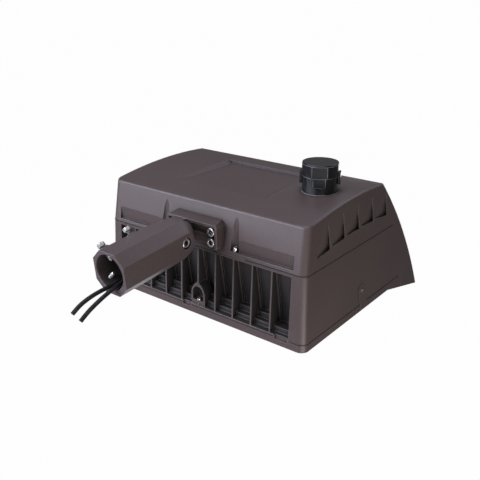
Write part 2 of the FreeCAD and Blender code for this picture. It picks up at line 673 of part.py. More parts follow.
def heat_sink_housing(form, cavity):
    """The lower casting: finned rear bay, open tub, light chamber and front visor."""
    below = box(-FAR, FAR, -FAR, FAR, HOUSING_BASE_Z, HOUSING_TOP_Z)
    front = LIP_Y + VISOR_WALL
    hood = across([(FRAME_END_Y, visor_dip(FRAME_END_Y)), (front, visor_dip(front)),
                   (front, HOUSING_TOP_Z), (FRAME_END_Y, HOUSING_TOP_Z)], -FAR, FAR)
    body = form.common(below.fuse(hood))
    wall_y = HOUSING_WALL
    tub = across([(bay_wall_y(HOUSING_TOP_Z) + wall_y, FAR), (bay_wall_y(HOUSING_TOP_Z) + wall_y, HOUSING_TOP_Z),
                  (bay_wall_y(FLOOR_Z) + wall_y, FLOOR_Z), (CHAMBER_FRONT_Y + HOUSING_WALL, FLOOR_Z),
                  (CHAMBER_FRONT_Y + HOUSING_WALL, HOUSING_BASE_Z + HOUSING_WALL),
                  (FAR, HOUSING_BASE_Z + HOUSING_WALL), (FAR, FAR)], -FAR, FAR)
    chamber = box(-CHAMBER_HALF_WIDTH, CHAMBER_HALF_WIDTH, CHAMBER_REAR_Y, CHAMBER_FRONT_Y, -FAR, LED_PLATE_Z)
    under_hood = housing_form(VISOR_WALL).common(box(-FAR, FAR, -FAR, FAR, -FAR, HOUSING_BASE_Z))
    body = body.cut([cavity.common(tub), chamber, under_hood, fin_bay()])
    fins = [fin(i * FIN_PITCH) for i in range(-FIN_SIDE_COUNT, FIN_SIDE_COUNT + 1)]
    body = body.fuse(fins + [screw_arch(), bay_shelf()])
    holes = [cylinder(COVER_SCREW_RADIUS + HOLE_PLAY, s, -Z_AXIS, COVER_SCREW_LENGTH + 1)
             for s in cover_screw_spots()]
    holes.append(cylinder(COVER_SCREW_RADIUS + HOLE_PLAY, arch_spot(), -Z_AXIS, FAR))
    holes += [cylinder(BOARD_SCREW_RADIUS + HOLE_PLAY, s, Z_AXIS, BOARD_SCREW_LENGTH) for s in board_screw_spots()]
    holes += [cylinder(DRIVER_SCREW_RADIUS + HOLE_PLAY, s, -Z_AXIS, DRIVER_SCREW_LENGTH)
              for s in driver_screw_spots()]
    for side in (-1, 1):
        start = Vec(side * FAR, TAB_SCREW_Y, TAB_SCREW_Z)
        holes.append(cylinder(COVER_SCREW_RADIUS + HOLE_PLAY, start, Vec(-side, 0, 0), FAR - CHAMBER_HALF_WIDTH))
    return body.cut(holes + rim_notches() + [arch_groove()]).removeSplitter()


# Lens frame

def arch_spot():
    """Where the frame's rear screw seats."""
    return Vec(0, ARCH_GROOVE_Y, ARCH_SCREW_Z)


def frame_opening(grow):
    """Plan limits of the frame's window, or of a larger rebate round it."""
    x = HEAD_WIDTH / 2 - FRAME_RAIL + grow
    return -x, x, FRAME_RAIL - grow, FRAME_END_Y - FRAME_FRONT_RAIL + grow


def lens_frame(form):
    """The frame under the housing that carries the glass."""
    end = FRAME_END_Y - FRAME_END_GAP
    section = [(-FAR, FRAME_BASE_Z), (VISOR_START_Y, FRAME_BASE_Z), (end, visor_dip(end)),
               (end, FRAME_TOP_Z), (-FAR, FRAME_TOP_Z)]
    frame = form.common(across(section, -FAR, FAR))
    frame = frame.cut(box(*frame_opening(0.0), -FAR, FAR))
    frame = frame.cut(box(*frame_opening(FRAME_REBATE), REBATE_Z, FAR))
    tab_plate = taper_block(-TAB_PROUD).cut(taper_block(0.0))
    crown = cylinder(TAB_RADIUS, Vec(-FAR, TAB_SCREW_Y, TAB_SCREW_Z), X_AXIS, 2 * FAR)
    stem = across([(TAB_FOOT[0], REBATE_Z), (TAB_FOOT[1], REBATE_Z), (TAB_SCREW_Y + TAB_RADIUS, TAB_SCREW_Z),
                   (TAB_SCREW_Y - TAB_RADIUS, TAB_SCREW_Z)], -FAR, FAR)
    frame = frame.fuse(tab_plate.common(stem.fuse(crown)))
    holes = [cylinder(COVER_SCREW_RADIUS + HOLE_PLAY, arch_spot(), -Z_AXIS, ARCH_SCREW_Z - REBATE_Z)]
    holes.append(cylinder(COVER_SCREW_RADIUS + HOLE_PLAY, Vec(-FAR, TAB_SCREW_Y, TAB_SCREW_Z), X_AXIS, 2 * FAR))
    return frame.cut(rim_notches() + holes).removeSplitter()


def frame_rear_screw():
    """The screw in the arch that draws the frame up."""
    length = ARCH_SCREW_Z - REBATE_Z - HOLE_PLAY
    return socket_screw(ARCH_SCREW_HEAD_RADIUS, ARCH_SCREW_HEAD, COVER_SCREW_RADIUS, length, arch_spot(), -Z_AXIS)


def frame_side_screws():
    """One screw through each side tab, its head just clear of the tab's drafted face."""
    seat = half_width(TAB_SCREW_Z, -TAB_PROUD) + SEAT_PLAY
    screw = socket_screw(TAB_SCREW_HEAD_RADIUS, TAB_SCREW_HEAD, COVER_SCREW_RADIUS, TAB_PROUD + HOUSING_WALL,
                         Vec(seat, TAB_SCREW_Y, TAB_SCREW_Z), -X_AXIS)
    return group([screw, mirrored(screw)])


def frame_gasket():
    """The flat seal between frame and housing."""
    x0, y1 = FRAME_SEAL_INSET - HEAD_WIDTH / 2, FRAME_END_Y - FRAME_END_GAP - SEAL_SETBACK
    outer = box(x0, -x0, FRAME_SEAL_INSET, y1, FRAME_TOP_Z, HOUSING_BASE_Z)
    w = FRAME_SEAL_WIDTH
    inner = box(x0 + w, -x0 - w, FRAME_SEAL_INSET + w, y1 - w, FRAME_TOP_Z, HOUSING_BASE_Z)
    hole = cylinder(COVER_SCREW_RADIUS + HOLE_PLAY, arch_spot(), -Z_AXIS, FAR)
    return outer.cut([inner, hole])


def glass_box():
    """The glass pane."""
    z0 = REBATE_Z + GLASS_SEAL
    return box(*frame_opening(FRAME_REBATE - GLASS_SEAL_SIDE - SEAT_PLAY), z0, z0 + GLASS)


def lens_glass():
    """The flat toughened pane with its edge eased."""
    pane = glass_box()
    edges = [e for e in pane.Edges if e.BoundBox.ZLength > GLASS / 2]
    return pane.makeFillet(GLASS_SEAL_SIDE, edges)


def lens_gasket():
    """The channel seal round the pane's edge."""
    top = REBATE_Z + 2 * GLASS_SEAL + GLASS
    channel = box(*frame_opening(FRAME_REBATE - SEAT_PLAY), REBATE_Z, top)
    window = box(*frame_opening(GLASS_SEAL_SIDE / 2), -FAR, FAR)
    return channel.cut([window, lens_glass()])


# Light engine

def board_limits():
    """Plan limits of the LED board."""
    return -BOARD_HALF_WIDTH, BOARD_HALF_WIDTH, CHAMBER_REAR_Y + BOARD_MARGIN, CHAMBER_FRONT_Y - BOARD_MARGIN


def board_screw_spots():
    """Where the board's screws seat, three along each long side."""
    x0, x1, y0, y1 = board_limits()
    z = LED_PLATE_Z - BOARD
    rows = (y0 + BOARD_SCREW_INSET, y1 - BOARD_SCREW_INSET)
    return [Vec(x, y, z) for y in rows for x in (x0 + BOARD_SCREW_INSET, 0.0, x1 - BOARD_SCREW_INSET)]


def led_board():
    """The metal-core board under the LED plate."""
    board = box(*board_limits(), LED_PLATE_Z - BOARD, LED_PLATE_Z)
    return board.cut([cylinder(BOARD_SCREW_RADIUS + HOLE_PLAY, s, Z_AXIS, BOARD) for s in board_screw_spots()])


def led_emitters():
    """The grid of LED packages on the board's underside."""
    middle = (CHAMBER_REAR_Y + CHAMBER_FRONT_Y) / 2
    half, z1 = EMITTER_SIZE / 2, LED_PLATE_Z - BOARD
    chips = []
    for row in range(EMITTER_ROWS):
        y = middle + (row - (EMITTER_ROWS - 1) / 2) * EMITTER_PITCH
        for column in range(EMITTER_COLUMNS):
            x = (column - (EMITTER_COLUMNS - 1) / 2) * EMITTER_PITCH
            chips.append(box(x - half, x + half, y - half, y + half, z1 - EMITTER, z1))
    return group(chips)


def board_screws():
    """The screws that press the board to its plate."""
    return group([socket_screw(BOARD_SCREW_HEAD_RADIUS, BOARD_SCREW_HEAD, BOARD_SCREW_RADIUS,
                               BOARD_SCREW_LENGTH, s, Z_AXIS) for s in board_screw_spots()])


# Driver compartment

def driver_screw_spots():
    """Where the driver's two foot screws seat."""
    x = DRIVER_LENGTH / 2 + DRIVER_FOOT / 2
    return [Vec(side * x, DRIVER_Y, FLOOR_Z + DRIVER_FOOT_HEIGHT) for side in (-1, 1)]


def led_driver():
    """The sealed LED driver with a slotted foot at each end."""
    half, deep = DRIVER_LENGTH / 2, DRIVER_DEPTH / 2
    case = box(-half, half, DRIVER_Y - deep, DRIVER_Y + deep, FLOOR_Z, FLOOR_Z + DRIVER_HEIGHT)
    upright = [e for e in case.Edges if e.BoundBox.ZLength > 1]
    case = case.makeFillet(DRIVER_FOOT_HEIGHT, upright)
    foot = half + DRIVER_FOOT
    feet = box(-foot, foot, DRIVER_Y - deep / 2, DRIVER_Y + deep / 2, FLOOR_Z, FLOOR_Z + DRIVER_FOOT_HEIGHT)
    holes = [cylinder(DRIVER_SCREW_RADIUS + HOLE_PLAY, s, -Z_AXIS, FAR) for s in driver_screw_spots()]
    return case.fuse(feet).cut(holes).removeSplitter()


def driver_screws():
    """The two screws in the driver's feet."""
    return group([socket_screw(DRIVER_SCREW_HEAD_RADIUS, DRIVER_SCREW_HEAD, DRIVER_SCREW_RADIUS,
                               DRIVER_SCREW_LENGTH, s, -Z_AXIS) for s in driver_screw_spots()])


def floor_block(size, place):
    """A block of that size on the tub's floor, centred on place."""
    (width, depth, height), (x, y) = size, place
    block = box(x - width / 2, x + width / 2, y - depth / 2, y + depth / 2, FLOOR_Z, FLOOR_Z + height)
    upper = [e for e in block.Edges if e.BoundBox.ZMin > FLOOR_Z + height / 2]
    return block.makeFillet(DRIVER_FOOT_HEIGHT / 2, upper)


def surge_protector():
    """The potted surge protector beside the driver."""
    return floor_block(SURGE_SIZE, (SURGE_SIDE - HEAD_WIDTH / 2, SURGE_Y))


def terminal_block():
    """The terminal block with a wire port and a screw well for each pole."""
    block = floor_block(TERMINAL_SIZE, TERMINAL_PLACE)
    width, depth, height = TERMINAL_SIZE
    pitch = width / TERMINAL_POLES
    cuts = []
    for pole in range(TERMINAL_POLES):
        x = TERMINAL_PLACE[0] + (pole - (TERMINAL_POLES - 1) / 2) * pitch
        port = Vec(x, TERMINAL_PLACE[1] - depth / 2, FLOOR_Z + height / 3)
        well = Vec(x, TERMINAL_PLACE[1], FLOOR_Z + height)
        cuts.append(cylinder(TERMINAL_PORT_RADIUS, port, Y_AXIS, depth / 3))
        cuts.append(cylinder(TERMINAL_PORT_RADIUS, well, -Z_AXIS, height / 3))
    return block.cut(cuts)


# Photocontrol

def heading(degrees):
    """The level direction at an angle from the rear, towards +X."""
    a = math.radians(degrees)
    return Vec(math.sin(a), -math.cos(a), 0)


def flat_cut(distance, z0, z1):
    """What a flat facet at that distance from the photocontrol's axis takes away."""
    half = 2 * CAP_RADIUS
    slab = box(-half, half, -half, -distance, z0, z1)
    slab.rotate(Vec(0, 0, 0), Z_AXIS, FLAT_HEADING)
    slab.translate(over_photo(0))
    return slab


def receptacle():
    """The locking receptacle that stands on the roof."""
    body = Part.makeCone(SOCKET_BASE_RADIUS, SOCKET_TOP_RADIUS, SOCKET_HEIGHT, over_photo(SOCKET_BASE_Z))
    body = body.cut(flat_cut(SOCKET_FLAT_AT, SOCKET_BASE_Z + SOCKET_FLAT_FROM, SOCKET_TOP_Z))
    neck = cylinder(SOCKET_NECK_RADIUS, over_photo(SOCKET_SEAT_Z - SOCKET_NECK), Z_AXIS, SOCKET_NECK + SOCKET_SEAL)
    body = body.fuse(neck)
    slots = [contact_blade(i, BLADE_PLAY, TWIST_RANGE) for i in range(BLADE_COUNT)]
    return body.cut(slots).removeSplitter()


def contact_blade(index, play, extra):
    """One curved contact, or, with play and extra turn, the slot that it twists in."""
    inner = BLADE_RADIUS - BLADE_THICKNESS / 2 - play
    outer = BLADE_RADIUS + BLADE_THICKNESS / 2 + play
    margin = math.degrees(play / inner)
    depth = BLADE_DEPTH + 2 * play
    top = CAP_BASE_Z if extra else CAP_BASE_Z + CAP_EDGE
    sweep = BLADE_ARC + extra + 2 * margin
    section = [Vec(inner, 0, CAP_BASE_Z - depth), Vec(outer, 0, CAP_BASE_Z - depth), Vec(outer, 0, top),
               Vec(inner, 0, top)]
    blade = Part.Face(Part.makePolygon(section + section[:1])).revolve(Vec(0, 0, 0), Z_AXIS, sweep)
    blade.rotate(Vec(0, 0, 0), Z_AXIS, index * 360 / BLADE_COUNT - margin)
    blade.translate(over_photo(0))
    return blade


def contact_blades():
    """The three contacts under the cap."""
    return group([contact_blade(i, 0.0, 0.0) for i in range(BLADE_COUNT)])


def photocontrol_cap():
    """The twist-lock photocontrol with a flat face and two finger lugs."""
    cap = Part.makeCone(CAP_RADIUS, CAP_TOP_RADIUS, CAP_HEIGHT, over_photo(CAP_BASE_Z))
    cap = cap.cut(flat_cut(CAP_FLAT_AT, CAP_BASE_Z, CAP_BASE_Z + CAP_HEIGHT - CAP_DISC))
    rim = [e for e in cap.Edges if e.BoundBox.ZMin > CAP_BASE_Z + CAP_HEIGHT - 1e-3]
    cap = cap.makeFillet(CAP_RIM, rim)
    bore = cylinder(SOCKET_TOP_RADIUS + LUG_GAP, over_photo(SOCKET_BASE_Z), Z_AXIS, CAP_BASE_Z - SOCKET_BASE_Z)
    reach = cylinder(LUG_REACH, over_photo(SOCKET_BASE_Z), Z_AXIS, LUG_TO)
    bar = box(-LUG_REACH, LUG_REACH, -LUG_WIDTH / 2, LUG_WIDTH / 2, SOCKET_BASE_Z + LUG_FROM, SOCKET_BASE_Z + LUG_TO)
    bar.rotate(Vec(0, 0, 0), Z_AXIS, FLAT_HEADING)
    bar.translate(over_photo(0))
    lugs = bar.common(reach).cut(bore)
    upright = [e for e in lugs.Edges if e.BoundBox.ZLength > (LUG_TO - LUG_FROM) / 2
               and (e.CenterOfMass - over_photo(e.CenterOfMass.z)).Length > LUG_REACH - CAP_EDGE]
    lugs = lugs.makeFillet(CAP_EDGE, upright)
    seats = [contact_blade(i, 0.0, 0.0) for i in range(BLADE_COUNT)]
    return cap.fuse(lugs).cut(seats).removeSplitter()


def receptacle_gasket():
    """The ring seal under the receptacle."""
    return ring(SOCKET_SEAL_RADIUS, SOCKET_NECK_RADIUS + HOLE_PLAY, over_photo(SOCKET_SEAT_Z), Z_AXIS, SOCKET_SEAL)


def receptacle_nut():
    """The ring nut that draws the receptacle down from inside the cover."""
    start = over_photo(SOCKET_SEAT_Z - SOCKET_BOSS - SOCKET_NUT)
    nut = ring(SOCKET_NUT_RADIUS, SOCKET_NECK_RADIUS + HOLE_PLAY, start, Z_AXIS, SOCKET_NUT)
    grips = [box(-SOCKET_NUT, SOCKET_NUT, side * SOCKET_NUT_RADIUS - 1, side * SOCKET_NUT_RADIUS + 1, 0, SOCKET_NUT)
             for side in (-1, 1)]
    for grip in grips:
        grip.translate(start)
    return nut.cut(grips)


# Knuckle bracket

def bracket_back(z):
    """The bracket's back face, a seal's thickness off the cover."""
    return rear_y(z) - BRACKET_SEAL


def knuckle_bracket():
    """The bracket with bolt pockets and the ear that carries the pivot."""
    top_back = BRACKET_TOP_Z + BRACKET_TOP_RISE
    section = [(BRACKET_FRONT_Y, BRACKET_BASE_Z), (BRACKET_FRONT_Y, BRACKET_TOP_Z),
               (bracket_back(top_back), top_back), (bracket_back(BRACKET_BASE_Z), BRACKET_BASE_Z)]
    body = across(section, -BRACKET_HALF_WIDTH, BRACKET_HALF_WIDTH)
    w, b = BRACKET_HALF_WIDTH, BRACKET_BEVEL
    outline = [(-w, BRACKET_BASE_Z), (w, BRACKET_BASE_Z), (w, top_back - b), (w - b, top_back),
               (b - w, top_back), (-w, top_back - b)]
    body = body.common(along(outline, -FAR, FAR))
    x0, x1 = -ARM_HALF, KNUCKLE_FACE_X
    body = body.cut(box(-POCKET_HALF_WIDTH, POCKET_HALF_WIDTH, -FAR, POCKET_FLOOR_Y, 0, POCKET_TOP_Z))
    rib_z = (BRACKET_BOLT_Z[0] + BRACKET_WASHER_RADIUS, POCKET_TOP_Z - POCKET_RIB)
    ribs = [box(x1, x1 + POCKET_RIB_LENGTH, POCKET_FLOOR_Y - POCKET_RIB, POCKET_FLOOR_Y, z, z + POCKET_RIB)
            for z in rib_z]
    neck = box(x0, x1, PIVOT_Y, POCKET_FLOOR_Y, PIVOT_Z - EAR_RADIUS, PIVOT_Z + EAR_RADIUS)
    eye = cylinder(EAR_RADIUS, Vec(x0, PIVOT_Y, PIVOT_Z), X_AXIS, x1 - x0)
    body = body.fuse(ribs + [neck.fuse(eye)])
    holes = [cylinder(BRACKET_BOLT_RADIUS + HOLE_PLAY, s, Y_AXIS, FAR) for s in bracket_bolt_spots()]
    holes.append(cylinder(PIVOT_RADIUS + RUNNING_PLAY, Vec(-FAR, PIVOT_Y, PIVOT_Z), X_AXIS, 2 * FAR))
    return body.cut(holes).removeSplitter()


def bracket_gasket():
    """The leaning seal between bracket and cover."""
    z0, z1 = BRACKET_BASE_Z + BRACKET_SEAL_INSET, BRACKET_TOP_Z - BRACKET_SEAL_INSET
    section = [(bracket_back(z0), z0), (rear_y(z0), z0), (rear_y(z1), z1), (bracket_back(z1), z1)]
    x = BRACKET_HALF_WIDTH - BRACKET_SEAL_INSET
    sheet = across(section, -x, x)
    return sheet.cut([cylinder(BRACKET_BOLT_RADIUS + HOLE_PLAY, s, Y_AXIS, FAR) for s in bracket_bolt_spots()])


def bracket_bolts():
    """Four socket-head bolts in the bracket's pockets."""
    return group([socket_screw(BRACKET_BOLT_HEAD_RADIUS, BRACKET_BOLT_HEAD, BRACKET_BOLT_RADIUS,
                               BRACKET_BOLT_LENGTH, s - Y_AXIS * BRACKET_WASHER, Y_AXIS)
                  for s in bracket_bolt_spots()])


def bracket_washers():
    """A washer under each bracket bolt."""
    return group([ring(BRACKET_WASHER_RADIUS, BRACKET_BOLT_RADIUS + HOLE_PLAY, s - Y_AXIS * BRACKET_WASHER,
                       Y_AXIS, BRACKET_WASHER) for s in bracket_bolt_spots()])


# Slip fitter arm, drawn along Y from its mouth and then tilted into place

def on_arm(solid):
    """Tilts a solid drawn on the arm's own axis into place."""
    solid.rotate(Vec(0, 0, 0), X_AXIS, ARM_TILT)
    solid.translate(MOUTH)
    return solid


def arm_section():
    """Corners of the arm's octagon, a little deeper below its axis."""
    h, c = ARM_HALF, ARM_HALF - ARM_CHAMFER
    low, deep = -c - ARM_DROP, -h - ARM_DROP
    return [(h, low), (h, c), (c, h), (-c, h), (-h, c), (-h, low), (-c, deep), (c, deep)]


def knuckle_drum():
    """The arm's rounded end: half its octagon turned about its own middle height."""
    h, c = ARM_HALF, ARM_HALF - ARM_CHAMFER
    face_x, middle = KNUCKLE_FACE_X + KNUCKLE_GAP, -ARM_DROP / 2
    corners = [Vec(face_x, ARM_LENGTH, middle), Vec(face_x, ARM_LENGTH, h), Vec(c, ARM_LENGTH, h),
               Vec(h, ARM_LENGTH, c), Vec(h, ARM_LENGTH, middle)]
    half = Part.Face(Part.makePolygon(corners + corners[:1]))
    return half.revolve(Vec(0, ARM_LENGTH, middle), X_AXIS, -180)


def set_screw_axis(side):
    """The outward direction of the set screws on the upper or lower left facet."""
    return Vec(-1, 0, side) / math.sqrt(2)


def facet_reach(side):
    """How far the slanted facets above or below stand from the arm's axis."""
    return (2 * ARM_HALF - ARM_CHAMFER + (ARM_DROP if side < 0 else 0)) / math.sqrt(2)


def slip_fitter_arm():
    """The octagonal arm with its tenon bore, screw holes and half knuckle."""
    shoulder = ARM_LENGTH - EAR_RADIUS - EAR_CLEARANCE
    tube = along(arm_section(), 0, shoulder)
    neck = along(arm_section(), shoulder / 2, ARM_LENGTH)
    neck = neck.common(box(KNUCKLE_FACE_X + KNUCKLE_GAP, FAR, -FAR, FAR, -FAR, FAR))
    pads = [cylinder(SET_SCREW_BOSS_RADIUS,
                     Vec(0, at, 0) + set_screw_axis(side) * (facet_reach(side) - SET_SCREW_BOSS),
                     set_screw_axis(side), 2 * SET_SCREW_BOSS) for side, at, _ in SET_SCREWS]
    body = tube.fuse(pads + [neck, knuckle_drum()])
    bore = cylinder(TENON_BORE_RADIUS, Vec(0, 0, 0), Y_AXIS, TENON_BORE_DEPTH)
    mouth = Part.makeCone(TENON_BORE_RADIUS + MOUTH_EDGE, TENON_BORE_RADIUS, MOUTH_EDGE, Vec(0, 0, 0), Y_AXIS)
    pivot = Vec(0, ARM_LENGTH, 0)
    cuts = [bore, mouth, cylinder(PIVOT_RADIUS + HOLE_PLAY, pivot - X_AXIS * FAR, X_AXIS, 2 * FAR)]
    cuts.append(cylinder(PIVOT_RECESS_RADIUS, pivot + X_AXIS * (ARM_HALF - PIVOT_RECESS), X_AXIS, FAR))
    cuts.append(cylinder(GROMMET_RADIUS, grommet_spot(), Y_AXIS, GROMMET_DEPTH))
    for side, at, _ in SET_SCREWS:
        cuts.append(cylinder(SET_SCREW_RADIUS + RUNNING_PLAY, Vec(0, at, 0), set_screw_axis(side), FAR))
    return on_arm(body.cut(cuts).removeSplitter())


def set_screw(side, at, backed_off):
    """One hex-head set screw, run in past the bore's wall."""
    axis = set_screw_axis(side)
    under_head = facet_reach(side) + SET_SCREW_BOSS + SET_SCREW_STANDOFF + backed_off
    inner = TENON_BORE_RADIUS - SET_SCREW_REACH + backed_off
    tip = Vec(0, at, 0) + axis * inner
    shank = cylinder(SET_SCREW_RADIUS, tip, axis, under_head - inner)
    head = hexagon(SET_SCREW_HEAD_ACROSS, Vec(0, at, 0) + axis * under_head, axis, SET_SCREW_HEAD)
    point = [e for e in shank.Edges if isinstance(e.Curve, Part.Circle) and (e.Curve.Center - tip).Length < 1e-6]
    return on_arm(shank.makeChamfer(SET_SCREW_RADIUS / 3, point).fuse(head))


def pivot_bolt():
    """The bolt that joins arm and ear, sunk in the arm's side."""
    head_x = ARM_HALF - PIVOT_RECESS
    length = head_x + ARM_HALF + KNUCKLE_GAP + PIVOT_WASHER + PIVOT_NUT + PIVOT_END
    return socket_screw(PIVOT_HEAD_RADIUS, PIVOT_HEAD, PIVOT_RADIUS, length,
                        Vec(head_x, PIVOT_Y, PIVOT_Z), -X_AXIS)


def pivot_washer():
    """The washer between ear and nut."""
    start = Vec(-ARM_HALF - KNUCKLE_GAP, PIVOT_Y, PIVOT_Z)
    return ring(PIVOT_WASHER_RADIUS, PIVOT_RADIUS + HOLE_PLAY, start, -X_AXIS, PIVOT_WASHER)


def pivot_nut():
    """The nut on the pivot bolt."""
    start = Vec(-ARM_HALF - KNUCKLE_GAP - PIVOT_WASHER, PIVOT_Y, PIVOT_Z)
    nut = hexagon(PIVOT_NUT_ACROSS, start, -X_AXIS, PIVOT_NUT)
    return nut.cut(cylinder(PIVOT_RADIUS + HOLE_PLAY, start, -X_AXIS, PIVOT_NUT))


# Supply cables and their grommet

def grommet_spot():
    """The wire hole's mouth at the end of the bore, on the arm's own axis."""
    middle = (Vec(*POWER_CABLE[0]) + Vec(*CONTROL_CABLE[0])) / 2
    low = middle.z * math.cos(TILT) - middle.y * math.sin(TILT)
    return Vec(middle.x, TENON_BORE_DEPTH, low)


def route_wire(points):
    """Straight runs joined by arcs as large as their runs allow, with the arcs' radii."""
    p = [Vec(*q) for q in points]
    edges, radii, start = [], [], p[0]
    for before, corner, after in zip(p, p[1:], p[2:]):
        back, ahead = before - corner, after - corner
        turn = math.pi - back.getAngle(ahead)
        cut = 0.45 * min(back.Length, ahead.Length)
        a, b = corner + back.normalize() * cut, corner + ahead.normalize() * cut
        radius = cut / math.tan(turn / 2)
        inward = (back + ahead).normalize()
        middle = corner + inward * (radius / math.cos(turn / 2) - radius)
        edges += [Part.makeLine(start, a), Part.Arc(a, middle, b).toShape()]
        radii.append(radius)
        start = b
    edges.append(Part.makeLine(start, p[-1]))
    return Part.Wire(edges), radii


def cable(points):
    """A round cable along its route, in the finished frame."""
    path, radii = route_wire(points)
    first = Vec(*points[0])
    along_start = Vec(*points[1]) - first
    section = Part.Wire(Part.makeCircle(CABLE_RADIUS, first, along_start))
    tube = path.makePipeShell([section], True, False)
    plain = math.pi * CABLE_RADIUS ** 2 * path.Length
    print("cable length %.1f, least radius %.1f, volume against section %.4f"
          % (path.Length, min(radii), tube.Volume / plain))
    return tube


def cable_grommet():
    """The rubber bush that the cables leave at the end of the bore."""
    spot = grommet_spot()
    bush = cylinder(GROMMET_RADIUS - HOLE_PLAY, spot, Y_AXIS, GROMMET_DEPTH)
    flange = cylinder(GROMMET_FLANGE_RADIUS, spot, -Y_AXIS, GROMMET_FLANGE)
    bush = on_arm(bush.fuse(flange))
    bush.translate(-MOUTH)
    ways = []
    for route in (POWER_CABLE, CONTROL_CABLE):
        first, second = Vec(*route[0]), Vec(*route[1])
        out = second - first
        ways.append(cylinder(CABLE_RADIUS + HOLE_PLAY, first - out, out, 3 * out.Length))
    return bush.cut(ways).removeSplitter()


# The whole light

def build():
    """Every piece by its name, in the frame of the slip fitter's mouth."""
    lower, lower_cavity = housing_form(0.0), housing_form(HOUSING_WALL)
    pieces = {
        "driver_cover": driver_cover(cover_form(0.0), cover_form(COVER_WALL)),
        "cover_screws": cover_screws(),
        "cover_gasket": cover_gasket(lower_cavity),
        "heat_sink_housing": heat_sink_housing(lower, lower_cavity),
        "lens_frame": lens_frame(lower),
        "frame_gasket": frame_gasket(),
        "frame_rear_screw": frame_rear_screw(),
        "frame_side_screws": frame_side_screws(),
        "lens_glass": lens_glass(),
        "lens_gasket": lens_gasket(),
        "led_board": led_board(),
        "led_emitters": led_emitters(),
        "board_screws": board_screws(),
        "led_driver": led_driver(),
        "driver_screws": driver_screws(),
        "surge_protector": surge_protector(),
        "terminal_block": terminal_block(),
        "receptacle": receptacle(),
        "receptacle_gasket": receptacle_gasket(),
        "receptacle_nut": receptacle_nut(),
        "photocontrol_cap": photocontrol_cap(),
        "contact_blades": contact_blades(),
        "knuckle_bracket": knuckle_bracket(),
        "bracket_gasket": bracket_gasket(),
        "bracket_bolts": bracket_bolts(),
        "bracket_washers": bracket_washers(),
        "slip_fitter_arm": slip_fitter_arm(),
        "pivot_bolt": pivot_bolt(),
        "pivot_washer": pivot_washer(),
        "pivot_nut": pivot_nut(),
    }
    for number, place in enumerate(SET_SCREWS, 1):
        pieces["set_screw_%d" % number] = set_screw(*place)
    for solid in pieces.values():
        solid.translate(-MOUTH)
    pieces["cable_grommet"] = cable_grommet()
    pieces["power_cable"] = cable(POWER_CABLE)
    pieces["control_cable"] = cable(CONTROL_CABLE)
    return pieces


os.makedirs("parts", exist_ok=True)
for name, shape in build().items():
    if not shape.isValid():
        print("not valid:", name)
    shape.exportStep("parts/%s.step" % name)
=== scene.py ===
"""Looks, studio and camera of the LED flood light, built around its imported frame."""

import logging
import math
from dataclasses import dataclass
from enum import Enum

import bmesh
import bpy
import numpy as np
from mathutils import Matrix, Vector


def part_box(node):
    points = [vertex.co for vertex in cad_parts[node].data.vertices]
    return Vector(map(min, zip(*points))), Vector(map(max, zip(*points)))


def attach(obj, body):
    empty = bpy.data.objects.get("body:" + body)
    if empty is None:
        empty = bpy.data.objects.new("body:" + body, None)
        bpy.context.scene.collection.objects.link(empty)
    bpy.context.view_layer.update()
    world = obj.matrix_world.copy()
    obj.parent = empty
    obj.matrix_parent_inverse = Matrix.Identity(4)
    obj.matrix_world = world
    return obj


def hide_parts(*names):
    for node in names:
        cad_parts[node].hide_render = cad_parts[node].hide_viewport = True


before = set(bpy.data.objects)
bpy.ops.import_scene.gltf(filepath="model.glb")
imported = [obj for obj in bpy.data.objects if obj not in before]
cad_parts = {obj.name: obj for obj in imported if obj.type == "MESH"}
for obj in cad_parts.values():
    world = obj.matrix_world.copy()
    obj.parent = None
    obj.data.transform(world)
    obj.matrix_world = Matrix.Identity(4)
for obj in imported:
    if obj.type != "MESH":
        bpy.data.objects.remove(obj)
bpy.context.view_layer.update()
LOG = logging.getLogger("flood_light")
Colour = tuple[float, float, float]
Point = tuple[float, float, float]
Span = tuple[float, float]
Socket = bpy.types.NodeSocket
Outputs = bpy.types.NodeOutputs
WHITE: Colour = (1.0, 1.0, 1.0)
WHOLE: Span = (0.0, 1.0)
MM = 0.001
MERGE, SLIVER = 1e-7, 1e-8


# Node trees

